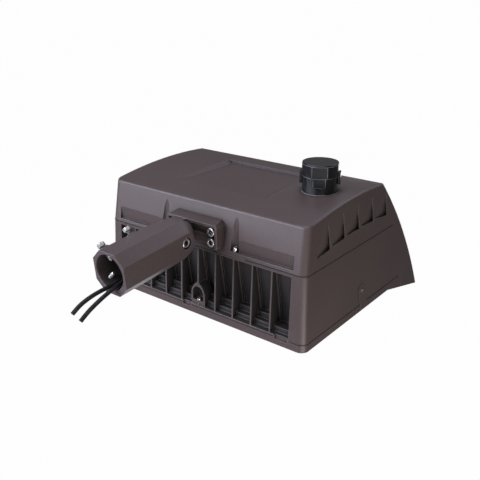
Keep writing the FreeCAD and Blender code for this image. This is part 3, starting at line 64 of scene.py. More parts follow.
class Graph:
    """Makes and links the nodes of one shader tree."""

    def __init__(self, tree: bpy.types.NodeTree) -> None:
        """Keeps the tree and empties it."""
        self.tree = tree
        tree.nodes.clear()

    def add(self, kind: str, inputs: dict | None = None, **settings: object) -> bpy.types.Node:
        """Adds a node.

        Args:
            kind: the node's type name.
            inputs: socket name or number, with a value or the socket that feeds it.
            settings: the node's own properties.

        Returns:
            The new node.
        """
        node = self.tree.nodes.new(kind)
        for key, value in settings.items():
            setattr(node, key, value)
        for key, value in (inputs or {}).items():
            self.feed(node.inputs[key], value)
        return node

    def feed(self, socket: Socket, value: object) -> None:
        """Links a socket, or sets its value.

        Args:
            socket: the input.
            value: another node's output, a number, or a colour of three numbers.
        """
        if isinstance(value, bpy.types.NodeSocket):
            self.tree.links.new(value, socket)
        elif socket.type == "RGBA":
            socket.default_value = (*value, 1.0)
        else:
            socket.default_value = value

    def noise(self, vector: Socket, scale: object, detail: float, rough: float) -> Socket:
        """A noise value on a vector, at a scale in cells a metre."""
        inputs = {"Vector": vector, "Scale": scale, "Detail": detail, "Roughness": rough}
        return self.add("ShaderNodeTexNoise", inputs).outputs[0]

    def span(self, value: Socket, source: tuple[object, object],
             target: tuple[object, object] = WHOLE) -> Socket:
        """Maps a value from one range to another, clamped."""
        inputs = dict(enumerate((value, *source, *target)))
        return self.add("ShaderNodeMapRange", inputs).outputs[0]

    def math(self, operation: str, one: object, two: object) -> Socket:
        """One arithmetic step on two values."""
        return self.add("ShaderNodeMath", {0: one, 1: two}, operation=operation).outputs[0]

    def times(self, one: object, two: object) -> Socket:
        """The product of two values."""
        return self.math("MULTIPLY", one, two)

    def mix(self, share: object, one: object, two: object) -> Socket:
        """A colour between two colours."""
        inputs = {0: share, 6: one, 7: two}
        return self.add("ShaderNodeMix", inputs, data_type="RGBA").outputs[2]

    def bump(self, height: Socket, strength: float, depth: float,
             normal: Socket | None = None) -> Socket:
        """A normal from a height.

        Args:
            height: the height in shares of the depth.
            strength: how strongly it shows.
            depth: the depth in metres.
            normal: the normal that it is laid on, if any.

        Returns:
            The new normal.
        """
        inputs = {"Strength": strength, "Distance": depth, "Height": height}
        if normal is not None:
            inputs["Normal"] = normal
        return self.add("ShaderNodeBump", inputs).outputs[0]


# Effects that several finishes share

class Effect(Enum):
    """The shared effects, each a node group built once."""
    POWDER = "powder_grain"
    SOFT_EDGE = "soft_edge"
    HOLLOW = "hollow_shade_mask"
    TURNED = "turned_metal"
    MOULDED = "moulded_grain"


class Effects:
    """Builds the shared node groups on demand and keeps them.

    An effect's method gets its group's graph and inputs, and gives what feeds its outputs. The
    noises are given by their detail and roughness.
    """

    SOCKETS = {
        Effect.POWDER: (("Vector", "Grain", "Peel"), ("Height", "Mottle", "Cloud")),
        Effect.SOFT_EDGE: (("Radius",), ("Normal", "Edge")),
        Effect.HOLLOW: (("Reach", "Shut", "Clear"), ("Open",)),
        Effect.TURNED: (("Vector", "Scale"), ("Height", "Streak")),
        Effect.MOULDED: (("Vector", "Scale"), ("Height", "Tone")),
    }
    VECTORS = ("Vector", "Normal")
    GRAIN_NOISE, PEEL_NOISE, CLOUD_NOISE = (2.0, 0.6), (1.0, 0.4), (3.0, 0.55)
    SCRATCH_NOISE, SLOW_NOISE = (3.0, 0.65), (2.0, 0.5)
    GRAIN_SHARE, PEEL_SHARE, MOTTLE_SPAN = 0.45, 0.55, (0.12, 0.4)
    CLOUD_SCALE, CLOUD_SPAN = 9.0, (0.3, 0.7)
    EDGE_SPAN, EDGE_SAMPLES = (0.99, 0.92), 6
    HOLLOW_SAMPLES = 8
    STREAK_SHARE, STREAK_SPAN = 0.16, (0.35, 0.68)
    TONE_SHARE, TONE_SPAN = 0.07, (0.3, 0.7)
    made: dict[Effect, bpy.types.NodeTree] = {}

    @classmethod
    def group(cls, effect: Effect) -> bpy.types.NodeTree:
        """The node group of an effect.

        Args:
            effect: which one.

        Returns:
            Its node tree, made on the first call.
        """
        if effect not in cls.made:
            tree = bpy.data.node_groups.new(effect.value, "ShaderNodeTree")
            for side, names in zip(("INPUT", "OUTPUT"), cls.SOCKETS[effect]):
                for name in names:
                    kind = "NodeSocketVector" if name in cls.VECTORS else "NodeSocketFloat"
                    tree.interface.new_socket(name=name, in_out=side, socket_type=kind)
            graph = Graph(tree)
            given = graph.add("NodeGroupInput")
            results = getattr(cls, effect.value)(graph, given.outputs)
            graph.add("NodeGroupOutput", results)
            cls.made[effect] = tree
        return cls.made[effect]

    @classmethod
    def use(cls, graph: Graph, effect: Effect, **inputs: object) -> Outputs:
        """Places an effect in a material with its own values and gives its outputs."""
        return graph.add("ShaderNodeGroup", inputs, node_tree=cls.group(effect)).outputs

    @classmethod
    def powder_grain(cls, graph: Graph, given: Outputs) -> dict[str, Socket]:
        """Fine grain over a wider orange peel, a small mottle and a slow cloud.

        Args:
            graph: the group's graph.
            given: the group's inputs.

        Returns:
            What feeds the group's outputs.
        """
        grain = graph.noise(given["Vector"], given["Grain"], *cls.GRAIN_NOISE)
        peel = graph.noise(given["Vector"], given["Peel"], *cls.PEEL_NOISE)
        cloud = graph.noise(given["Vector"], cls.CLOUD_SCALE, *cls.CLOUD_NOISE)
        height = graph.math("ADD", graph.times(grain, cls.GRAIN_SHARE),
                            graph.times(peel, cls.PEEL_SHARE))
        mottle = graph.span(graph.times(grain, peel), cls.MOTTLE_SPAN)
        return {"Height": height, "Mottle": mottle, "Cloud": graph.span(cloud, cls.CLOUD_SPAN)}

    @classmethod
    def soft_edge(cls, graph: Graph, given: Outputs) -> dict[str, Socket]:
        """The normal of a rounded edge, and a mask of how far it turns from the flat one.

        Args:
            graph: the group's graph.
            given: the group's inputs.

        Returns:
            What feeds the group's outputs.
        """
        soft = graph.add("ShaderNodeBevel", {"Radius": given["Radius"]},
                         samples=cls.EDGE_SAMPLES).outputs[0]
        flat = graph.add("ShaderNodeNewGeometry").outputs["Normal"]
        turn = graph.add("ShaderNodeVectorMath", {0: soft, 1: flat}, operation="DOT_PRODUCT")
        return {"Normal": soft, "Edge": graph.span(turn.outputs["Value"], cls.EDGE_SPAN)}

    @classmethod
    def hollow_shade_mask(cls, graph: Graph, given: Outputs) -> dict[str, Socket]:
        """A mask for painted shade, 1 in the open and falling to 0 where walls crowd round.

        Args:
            graph: the group's graph.
            given: the group's inputs.

        Returns:
            What feeds the group's outputs.
        """
        crowd = graph.add("ShaderNodeAmbientOcclusion", {"Distance": given["Reach"]},
                          samples=cls.HOLLOW_SAMPLES).outputs["AO"]
        return {"Open": graph.span(crowd, (given["Shut"], given["Clear"]))}

    @classmethod
    def turned_metal(cls, graph: Graph, given: Outputs) -> dict[str, Socket]:
        """Fine scratches and a slower streak of duller metal.

        Args:
            graph: the group's graph.
            given: the group's inputs.

        Returns:
            What feeds the group's outputs.
        """
        fine = graph.noise(given["Vector"], given["Scale"], *cls.SCRATCH_NOISE)
        wide = graph.times(given["Scale"], cls.STREAK_SHARE)
        slow = graph.noise(given["Vector"], wide, *cls.SLOW_NOISE)
        return {"Height": fine, "Streak": graph.span(slow, cls.STREAK_SPAN)}

    @classmethod
    def moulded_grain(cls, graph: Graph, given: Outputs) -> dict[str, Socket]:
        """The eroded grain of a mould, from cells, with a slow tone from noise.

        Args:
            graph: the group's graph.
            given: the group's inputs.

        Returns:
            What feeds the group's outputs.
        """
        inputs = {"Vector": given["Vector"], "Scale": given["Scale"]}
        cells = graph.add("ShaderNodeTexVoronoi", inputs).outputs["Distance"]
        wide = graph.times(given["Scale"], cls.TONE_SHARE)
        slow = graph.noise(given["Vector"], wide, *cls.SLOW_NOISE)
        return {"Height": cells, "Tone": graph.span(slow, cls.TONE_SPAN)}


# Finishes

@dataclass(frozen=True)
class Finish:
    """A finish that makes one material.

    Attributes:
        name: the material's name.
    """
    name: str

    def material(self) -> bpy.types.Material:
        """Finds the finish's material, or makes it on the first call.

        Returns:
            The material.
        """
        found = bpy.data.materials.get(self.name)
        if found is None:
            found = bpy.data.materials.new(self.name)
            found.use_nodes = True
            graph = Graph(found.node_tree)
            place = graph.add("ShaderNodeTexCoord").outputs["Object"]
            shader = graph.add("ShaderNodeBsdfPrincipled", self.shader(graph, place))
            graph.add("ShaderNodeOutputMaterial", {"Surface": shader.outputs[0]})
        return found

    def shader(self, graph: Graph, place: Socket) -> dict[str, object]:
        """The shader's inputs; each finish gives its own."""
        raise NotImplementedError

    def dress(self, *pieces: bpy.types.Object) -> None:
        """Puts the material on pieces or nodes, in place of what they have.

        Args:
            pieces: the objects.
        """
        for piece in pieces:
            piece.data.materials.clear()
            piece.data.materials.append(self.material())


@dataclass(frozen=True)
class PowderCoat(Finish):
    """Textured powder coat on cast metal, with a painted highlight on its edges and painted shade
    in its hollows.

    Attributes:
        dark: colour in the hollows of the grain.
        light: colour on the grain's tops.
        edge: colour of the painted highlight on an edge.
        hollow_shade: colour of the painted shade far down between walls.
        reach: how near a facing wall counts as crowding, in metres.
        crowd: openness at which the painted shade is whole, and at which it ends.
        grain: grains a metre.
        peel: orange peel cells a metre.
        radius: how far an edge is rounded, in metres.
        shares: how far the mottle, the cloud and the painted edge highlight change the colour.
        polish: least and greatest roughness in the open.
        deep_rough: roughness far down between walls.
        shine: specular level.
        relief: strength of the grain's bump, and its depth in metres.
    """
    dark: Colour = (0.052, 0.038, 0.0365)
    light: Colour = (0.079, 0.0585, 0.056)
    edge: Colour = (0.22, 0.19, 0.19)
    hollow_shade: Colour = (0.02, 0.016, 0.015)
    reach: float = 0.005
    crowd: Span = (0.12, 0.5)
    grain: float = 1500.0
    peel: float = 330.0
    radius: float = 0.0016
    shares: tuple[float, float, float] = (0.6, 0.35, 0.65)
    polish: Span = (0.37, 0.49)
    deep_rough: float = 0.8
    shine: float = 0.4
    relief: Span = (0.22, 0.0006)

    def shader(self, graph: Graph, place: Socket) -> dict[str, object]:
        """Coat colour by mottle and cloud, a painted highlight on edges, painted shade in hollows,
        and a grain.

        Args:
            graph: the material's graph.
            place: Object coordinates.

        Returns:
            The shader's inputs.
        """
        powder = Effects.use(graph, Effect.POWDER, Vector=place, Grain=self.grain, Peel=self.peel)
        soft = Effects.use(graph, Effect.SOFT_EDGE, Radius=self.radius)
        # Painted shade: where walls crowd round, the coat is darkened towards a near-black colour.
        space = Effects.use(graph, Effect.HOLLOW, Reach=self.reach, Shut=self.crowd[0],
                            Clear=self.crowd[1])["Open"]
        # Painted highlight: the soft edge's mask lightens the coat towards the pale edge colour.
        mottle, cloud, edge_highlight = (graph.times(mask, share) for mask, share in zip(
            (powder["Mottle"], powder["Cloud"], soft["Edge"]), self.shares))
        coat = graph.mix(mottle, self.dark, self.light)
        sunk = graph.mix(space, self.hollow_shade, graph.mix(cloud, coat, self.light))
        rough = graph.span(powder["Mottle"], WHOLE, self.polish)
        return {"Base Color": graph.mix(edge_highlight, sunk, self.edge),
                "Roughness": graph.span(space, WHOLE, (self.deep_rough, rough)),
                "Specular IOR Level": self.shine,
                "Normal": graph.bump(powder["Height"], *self.relief, soft["Normal"])}


@dataclass(frozen=True)
class BrightMetal(Finish):
    """Bare machined metal with fine scratches, dull streaks and painted shade in its hollows.

    Attributes:
        bright: colour of the clean metal.
        dull: colour of the streaks.
        smooth: roughness of the clean metal.
        rough: roughness of the streaks.
        scale: scratches a metre.
        reach: how near a facing wall counts as a hollow, in metres.
        crowd: openness at which a hollow is all painted shade, and at which the painted shade ends.
        hollow_shade_share: colour of the painted shade in hollows, as a share of the dull one.
        radius: how far an edge is rounded, in metres.
        relief: strength of the scratches' bump, and their depth in metres.
    """
    bright: Colour = (0.86, 0.85, 0.84)
    dull: Colour = (0.66, 0.65, 0.64)
    smooth: float = 0.2
    rough: float = 0.38
    scale: float = 2600.0
    reach: float = 0.008
    crowd: Span = (0.38, 0.75)
    hollow_shade_share: float = 0.12
    radius: float = 0.0003
    relief: Span = (0.12, 0.0002)

    def shader(self, graph: Graph, place: Socket) -> dict[str, object]:
        """Metal whose colour and roughness follow the streaks, with painted shade in its hollows.

        Args:
            graph: the material's graph.
            place: Object coordinates.

        Returns:
            The shader's inputs.
        """
        metal = Effects.use(graph, Effect.TURNED, Vector=place, Scale=self.scale)
        soft = Effects.use(graph, Effect.SOFT_EDGE, Radius=self.radius)
        space = Effects.use(graph, Effect.HOLLOW, Reach=self.reach, Shut=self.crowd[0],
                            Clear=self.crowd[1])["Open"]
        clean = graph.mix(metal["Streak"], self.bright, self.dull)
        # Painted shade: hollows such as screw sockets are darkened to a small share of the dull
        # colour.
        return {"Base Color": graph.mix(space, tuple(self.hollow_shade_share * c for c in self.dull), clean),
                "Metallic": 1.0,
                "Roughness": graph.span(metal["Streak"], WHOLE, (self.smooth, self.rough)),
                "Normal": graph.bump(metal["Height"], *self.relief, soft["Normal"])}


@dataclass(frozen=True)
class Moulded(Finish):
    """Moulded plastic or rubber with the grain of its mould.

    Attributes:
        dark: colour in the hollows.
        light: colour on the tops.
        smooth: least roughness.
        rough: greatest roughness.
        scale: grains a metre.
        radius: how far an edge is rounded, in metres.
        shine: specular level.
        relief: strength of the grain's bump, and its depth in metres.
    """
    dark: Colour
    light: Colour
    smooth: float
    rough: float
    scale: float = 1500.0
    radius: float = 0.0005
    shine: float = 0.5
    relief: Span = (0.15, 0.0003)

    def shader(self, graph: Graph, place: Socket) -> dict[str, object]:
        """Colour and roughness by a slow tone, with the mould's grain on a rounded normal.

        Args:
            graph: the material's graph.
            place: Object coordinates.

        Returns:
            The shader's inputs.
        """
        grain = Effects.use(graph, Effect.MOULDED, Vector=place, Scale=self.scale)
        soft = Effects.use(graph, Effect.SOFT_EDGE, Radius=self.radius)
        return {"Base Color": graph.mix(grain["Tone"], self.dark, self.light),
                "Roughness": graph.span(grain["Tone"], WHOLE, (self.smooth, self.rough)),
                "Specular IOR Level": self.shine,
                "Normal": graph.bump(grain["Height"], *self.relief, soft["Normal"])}


@dataclass(frozen=True)
class ClearPane(Finish):
    """Clear toughened glass or lens resin with a faint haze.

    Attributes:
        tint: colour of the body.
        haze: roughness of its cloudier places.
        fade: colour of the cloudier places, as a share of the tint.
        waves: waves a metre.
        cloudy: the wave's values between which the haze grows.
        polish: roughness of its clear places.
        index: index of refraction.
        relief: strength of the waves' bump, and their depth in metres.
    """
    tint: Colour = (0.93, 0.97, 0.96)
    haze: float = 0.06
    fade: float = 0.97
    waves: float = 24.0
    cloudy: Span = (0.35, 0.7)
    polish: float = 0.01
    index: float = 1.5
    relief: Span = (0.05, 0.0004)

    def shader(self, graph: Graph, place: Socket) -> dict[str, object]:
        """A clear body whose polish and surface waver slightly.

        Args:
            graph: the material's graph.
            place: Object coordinates.

        Returns:
            The shader's inputs.
        """
        wave = graph.noise(place, self.waves, *Effects.SLOW_NOISE)
        return {"Base Color": graph.mix(wave, self.tint, tuple(self.fade * c for c in self.tint)),
                "Roughness": graph.span(wave, self.cloudy, (self.polish, self.haze)),
                "IOR": self.index, "Transmission Weight": 1.0,
                "Normal": graph.bump(wave, *self.relief)}


class Palette:
    """The finishes of this light, by what they cover."""
    # The bronze coats are copies of one powder coat: each edge colour is a painted highlight, and
    # each near-black colour in hollows is painted shade spread by reach and crowd.
    BRONZE = PowderCoat("bronze_powder_coat", edge=(0.12, 0.098, 0.096), reach=0.008,
                        crowd=(0.3, 0.85))
    # Heat sink: wide, strong painted shade that darkens the fin bays nearly to black.
    FIN_BRONZE = PowderCoat("bronze_fin_coat", edge=(0.19, 0.155, 0.15),
                            hollow_shade=(0.0115, 0.011, 0.011), reach=0.06, crowd=(0.58, 1.0))
    # Cover: painted shade in its recesses.
    COVER_BRONZE = PowderCoat("bronze_cover_coat", edge=(0.15, 0.125, 0.124),
                              hollow_shade=(0.019, 0.0155, 0.015), reach=0.016, crowd=(0.35, 0.95))
    # Bracket: painted shade in its bolt pockets.
    BRACKET_BRONZE = PowderCoat("bronze_bracket_coat", hollow_shade=(0.013, 0.012, 0.012), reach=0.025,
                                crowd=(0.4, 0.9))
    # Arm: a lighter copy of the same coat, painted light, with painted shade down its bore.
    ARM_LIT_BRONZE = PowderCoat("bronze_arm_lit_coat", (0.061, 0.047, 0.047), (0.092, 0.072, 0.073),
                             edge=(0.16, 0.137, 0.14), hollow_shade=(0.012, 0.012, 0.012), reach=0.05,
                             crowd=(0.4, 0.8))
    # Bare metals below darken their hollows, such as screw sockets, with painted shade.
    STAINLESS = BrightMetal("stainless_fastener")
    SATIN = BrightMetal("satin_set_screw", (0.6, 0.59, 0.58), (0.42, 0.41, 0.41), 0.36, 0.5)
    COATED_SCREW = BrightMetal("side_tab_screw", (0.5, 0.5, 0.53), (0.3, 0.3, 0.32), 0.35, 0.5,
                               reach=0.001)
    BRASS = BrightMetal("brass_contact", (0.78, 0.58, 0.25), (0.5, 0.34, 0.14), 0.22, 0.42)
    CASE = BrightMetal("driver_case_metal", (0.6, 0.6, 0.61), (0.42, 0.42, 0.43), 0.3, 0.5, 900.0)
    SEAL = Moulded("silicone_seal", (0.016, 0.016, 0.016), (0.034, 0.033, 0.032), 0.55, 0.72, 900.0)
    COLOUR_SEAL = Moulded("bronze_silicone_seal", (0.04, 0.031, 0.029), (0.06, 0.046, 0.043),
                          0.6, 0.75, 900.0)
    LIP_SEAL = Moulded("seam_lip_seal", (0.012, 0.01, 0.0095), (0.024, 0.02, 0.019), 0.6, 0.8,
                       900.0, shine=0.2)
    BASE_SEAL = Moulded("receptacle_base_seal", (0.02, 0.02, 0.021), (0.04, 0.04, 0.042),
                        0.45, 0.6, 900.0)
    CONTROL = Moulded("photocontrol_shell", (0.005, 0.005, 0.006), (0.012, 0.012, 0.0135),
                      0.12, 0.22, radius=0.0009)
    RECEPTACLE = Moulded("receptacle_moulding", (0.006, 0.006, 0.007), (0.013, 0.013, 0.0145),
                         0.14, 0.26, radius=0.0009)
    # Pale grey for thin beads on the black control's edges: painted highlight lines.
    HIGHLIGHT_MOULDING = Moulded("painted_highlight_moulding", (0.11, 0.11, 0.115), (0.2, 0.2, 0.21), 0.25, 0.4)
    JACKET = Moulded("cable_jacket_rubber", (0.007, 0.007, 0.008), (0.017, 0.017, 0.019),
                     0.4, 0.55, 1100.0, shine=0.22)
    POTTING = Moulded("potted_case", (0.02, 0.02, 0.021), (0.042, 0.042, 0.043), 0.4, 0.6, 700.0)
    TERMINAL = Moulded("terminal_moulding", (0.55, 0.54, 0.5), (0.7, 0.69, 0.64), 0.35, 0.5, 900.0)
    MASK = Moulded("board_solder_mask", (0.72, 0.72, 0.69), (0.84, 0.84, 0.81), 0.28, 0.45, 1200.0)
    PHOSPHOR = Moulded("emitter_phosphor", (0.72, 0.5, 0.07), (0.88, 0.68, 0.14), 0.3, 0.5, 2500.0)
    GLASS = ClearPane("clear_flat_glass")
    LENS = ClearPane("lens_dome_resin", (0.97, 0.97, 0.95), 0.1)


# Surfaces

def stand(name: str, data: bpy.types.ID) -> bpy.types.Object:
    """Puts data into the scene as an object at the origin.

    Args:
        name: the object's name.
        data: its mesh, curve, lamp or camera.

    Returns:
        The new object.
    """
    thing = bpy.data.objects.new(name, data)
    bpy.context.scene.collection.objects.link(thing)
    return thing


def surface(name: str, points: np.ndarray, crease: float = 35.0) -> bpy.types.Object:
    """Makes one mesh from grids of points that close around their second direction.

    Each cell of a grid is a face. Rows that shrink to a point close into a pole, and the faces
    are turned outwards once doubles are merged.

    Args:
        name: the piece's name.
        points: array of shape (copies, rows, columns, 3), in metres in the part's frame.
        crease: edges sharper than this angle in degrees stay sharp.

    Returns:
        The new object, at the origin.
    """
    number = np.arange(points[..., 0].size).reshape(points.shape[:3])
    across = np.roll(number, -1, axis=2)
    corners = [number[:, :-1], across[:, :-1], across[:, 1:], number[:, 1:]]
    mesh = bpy.data.meshes.new(name)
    mesh.from_pydata(points.reshape(-1, 3), [], np.stack(corners, axis=-1).reshape(-1, 4))
    work = bmesh.new()
    work.from_mesh(mesh)
    bmesh.ops.remove_doubles(work, verts=work.verts, dist=MERGE)
    bmesh.ops.dissolve_degenerate(work, edges=work.edges, dist=SLIVER)
    bmesh.ops.recalc_face_normals(work, faces=work.faces)
    work.to_mesh(mesh)
    work.free()
    mesh.shade_smooth()
    mesh.set_sharp_from_angle(angle=math.radians(crease))
    return stand(name, mesh)


def around(columns: int) -> np.ndarray:
    """Equal steps of one turn, in radians."""
    return np.linspace(0.0, 2.0 * np.pi, columns, endpoint=False)


def hexagon_reach(angle: np.ndarray, across: float) -> np.ndarray:
    """From a hexagon's middle to its side: half of across over the cosine from that side."""
    return across / 2 / np.cos(np.mod(angle + np.pi / 6, np.pi / 3) - np.pi / 6)


def thread_drop(run: np.ndarray, angle: np.ndarray, pitch: float) -> np.ndarray:
    """Share of a thread's depth: a triangle wave of height over pitch less angle over a turn."""
    wave = np.mod(run[:, None] / pitch - angle / (2 * np.pi), 1.0)
    return np.abs(2 * wave - 1)


def turned(radius: np.ndarray, height: np.ndarray, start: Point, axis: Point) -> np.ndarray:
    """Points of a surface round an axis: start plus height along the axis plus radius across it.

    Args:
        radius: array (rows, columns), the distance from the axis for each row and angle.
        height: array (rows,), the distance along the axis.
        start: where height is 0.
        axis: direction of the axis.

    Returns:
        Array (1, rows, columns, 3) of points.
    """
    along = np.array(Vector(axis).normalized())
    side = np.array(Vector(axis).orthogonal().normalized())
    up = np.cross(along, side)
    angle = around(radius.shape[1])
    ring = np.cos(angle)[:, None] * side + np.sin(angle)[:, None] * up
    return (np.array(start) + height[:, None, None] * along + radius[..., None] * ring)[None]


def box_middle(node: str) -> Point:
    """The middle of a node's box."""
    return tuple((low + high) / 2 for low, high in zip(*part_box(node)))


def settle(piece: bpy.types.Object, body: str, slot: str, finish: Finish, *nodes: str) -> str:
    """Dresses a new piece, lets it ride on a body and stand for nodes.

    Args:
        piece: the new object.
        body: the body that it moves with.
        slot: a material slot's name; not used.
        finish: its finish.
        nodes: the nodes that it replaces.

    Returns:
        The piece's name.
    """
    finish.dress(piece)
    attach(piece, body)
    if nodes:
        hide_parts(*nodes)
    return piece.name


def dress_nodes(coats: dict[Finish, tuple[str, ...]]) -> list[str]:
    """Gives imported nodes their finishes.

    Args:
        coats: each finish, with the names of the nodes that it covers.

    Returns:
        The nodes' names.
    """
    for finish, names in coats.items():
        finish.dress(*(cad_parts[name] for name in names))
    return [name for names in coats.values() for name in names]


# Camera and studio

@dataclass
class Viewpoint:
    """The photograph's camera."""
    place: Point = (0.7262, -0.59319, 0.42021)
    azimuth: float = 38.1
    elevation: float = 21.73
    lens: float = 47.985
    sensor: float = 36.0
    clip: Span = (0.01, 1000.0)

    def build(self) -> list[str]:
        """Makes the camera, looking along its azimuth and down by its elevation.

        Returns:
            The camera's name.
        """
        camera = bpy.data.cameras.new("viewpoint")
        camera.lens, camera.sensor_width = self.lens, self.sensor
        camera.clip_start, camera.clip_end = self.clip
        piece = stand("viewpoint", camera)
        piece.location = self.place
        nod = math.radians(90.0 - self.elevation)
        piece.rotation_euler = (nod, 0.0, math.radians(self.azimuth))
        bpy.context.scene.camera = piece
        return [piece.name]


@dataclass(frozen=True)
class SoftBox:
    """A soft lamp that looks at a point.

    Attributes:
        name: its name.
        place: its middle.
        size: width and height in metres.
        power: watts.
        colour: its light's colour.
    """
    name: str
    place: Point
    size: Span
    power: float
    colour: Colour = WHITE

    def build(self, aim: Point) -> str:
        """Hangs the lamp and turns it to a point.

        Args:
            aim: the point.

        Returns:
            The lamp's name.
        """
        lamp = bpy.data.lights.new(self.name, "AREA")
        lamp.shape, lamp.size, lamp.size_y = "RECTANGLE", *self.size
        lamp.energy, lamp.color = self.power, self.colour
        piece = stand(self.name, lamp)
        piece.location = self.place
        way = Vector(aim) - Vector(self.place)
        piece.rotation_euler = way.to_track_quat("-Z", "Y").to_euler()
        piece.visible_camera = False
        return self.name


@dataclass
class Studio:
    """A pale floor far below the light, a pale surround and soft lamps."""
    floor_z: float = -1.75
    floor_reach: float = 300.0
    floor_colour: Colour = (0.5, 0.5, 0.5)
    floor_glow: float = 0.985
    floor_mirrored: float = 0.06
    aim: Point = (0.0, 0.3, -0.02)
    surround: float = 0.1
    mirrored: float = 0.08
    lamps: tuple[SoftBox, ...] = (
        SoftBox("rear_lamp", (-1.0, -1.56, 0.6), (2.3, 1.1), 92.0, (0.81, 0.85, 1.0)),
        SoftBox("top_lamp", (0.0, -0.1, 2.2), (1.1, 1.1), 27.0, (0.92, 0.9, 1.0)),
        SoftBox("right_lamp", (1.6, -1.0, 0.75), (1.1, 1.1), 8.0, (1.0, 0.95, 0.84)),
        SoftBox("side_lamp", (0.78, -0.05, -0.5), (0.45, 0.45), 4.3, (1.0, 0.88, 0.87)),
        SoftBox("front_lamp", (-0.2, 1.7, 1.7), (1.1, 1.1), 5.0, (0.74, 0.79, 1.0)),
        SoftBox("corner_lamp", (0.9, 1.85, 1.3), (1.1, 1.1), 9.5, (0.88, 0.86, 1.0)),
        SoftBox("low_lamp", (1.25, -1.25, -0.85), (1.0, 1.0), 3.2),
        SoftBox("visor_lamp", (-0.35, 2.2, -0.3), (1.2, 0.8), 9.0),
        SoftBox("under_lamp", (-0.8, 1.6, -1.2), (1.4, 1.4), 6.0),
    )

    @staticmethod
    def seen(graph: Graph, mirrored: float) -> Socket:
        """How far a ray shows the background.

        Args:
            graph: the tree that asks.
            mirrored: the share that a gloss shows.

        Returns:
            1 for a ray from the camera or through glass, and that share for a gloss.
        """
        path = graph.add("ShaderNodeLightPath").outputs
        gloss = graph.times(path["Is Glossy Ray"], mirrored)
        partly = graph.math("MAXIMUM", gloss, path["Is Transmission Ray"])
        return graph.math("MAXIMUM", path["Is Camera Ray"], partly)

    def build_floor(self) -> str:
        """Makes a flat square, pale, that shows near white and keeps a soft shadow.

        Returns:
            The floor's name.
        """
        edge = self.floor_reach * np.array([[-1, -1], [1, -1], [1, 1], [-1, 1]], float)
        points = np.column_stack([edge, np.full(4, self.floor_z)])
        mesh = bpy.data.meshes.new("studio_floor")
        mesh.from_pydata(points, [], [(0, 1, 2, 3)])
        floor = stand("studio_floor", mesh)
        material = bpy.data.materials.new("pale_floor")
        material.use_nodes = True
        graph = Graph(material.node_tree)
        matte = graph.add("ShaderNodeBsdfDiffuse", {"Color": self.floor_colour}).outputs[0]
        glow = graph.add("ShaderNodeEmission", {"Color": WHITE, "Strength": 1.0}).outputs[0]
        share = graph.times(self.seen(graph, self.floor_mirrored), self.floor_glow)
        both = graph.add("ShaderNodeMixShader", {0: share, 1: matte, 2: glow})
        graph.add("ShaderNodeOutputMaterial", {"Surface": both.outputs[0]})
        mesh.materials.append(material)
        return floor.name

    def build_surround(self) -> str:
        """Makes a world that is white where it is seen and softer as light.

        Returns:
            The world's name.
        """
        world = bpy.data.worlds.new("studio_surround")
        world.use_nodes = True
        bpy.context.scene.world = world
        graph = Graph(world.node_tree)
        soft, white = (graph.add("ShaderNodeBackground", {"Color": WHITE, "Strength": strength})
                       for strength in (self.surround, 1.0))
        share = self.seen(graph, self.mirrored)
        both = graph.add("ShaderNodeMixShader",
                         {0: share, 1: soft.outputs[0], 2: white.outputs[0]})
        graph.add("ShaderNodeOutputWorld", {"Surface": both.outputs[0]})
        return world.name

    def build(self) -> list[str]:
        """Makes floor, surround and lamps.

        Returns:
            Their names.
        """
        bpy.context.scene.view_settings.view_transform = "Standard"
        made = [self.build_floor(), self.build_surround()]
        return made + [lamp.build(self.aim) for lamp in self.lamps]


# Sub-assemblies

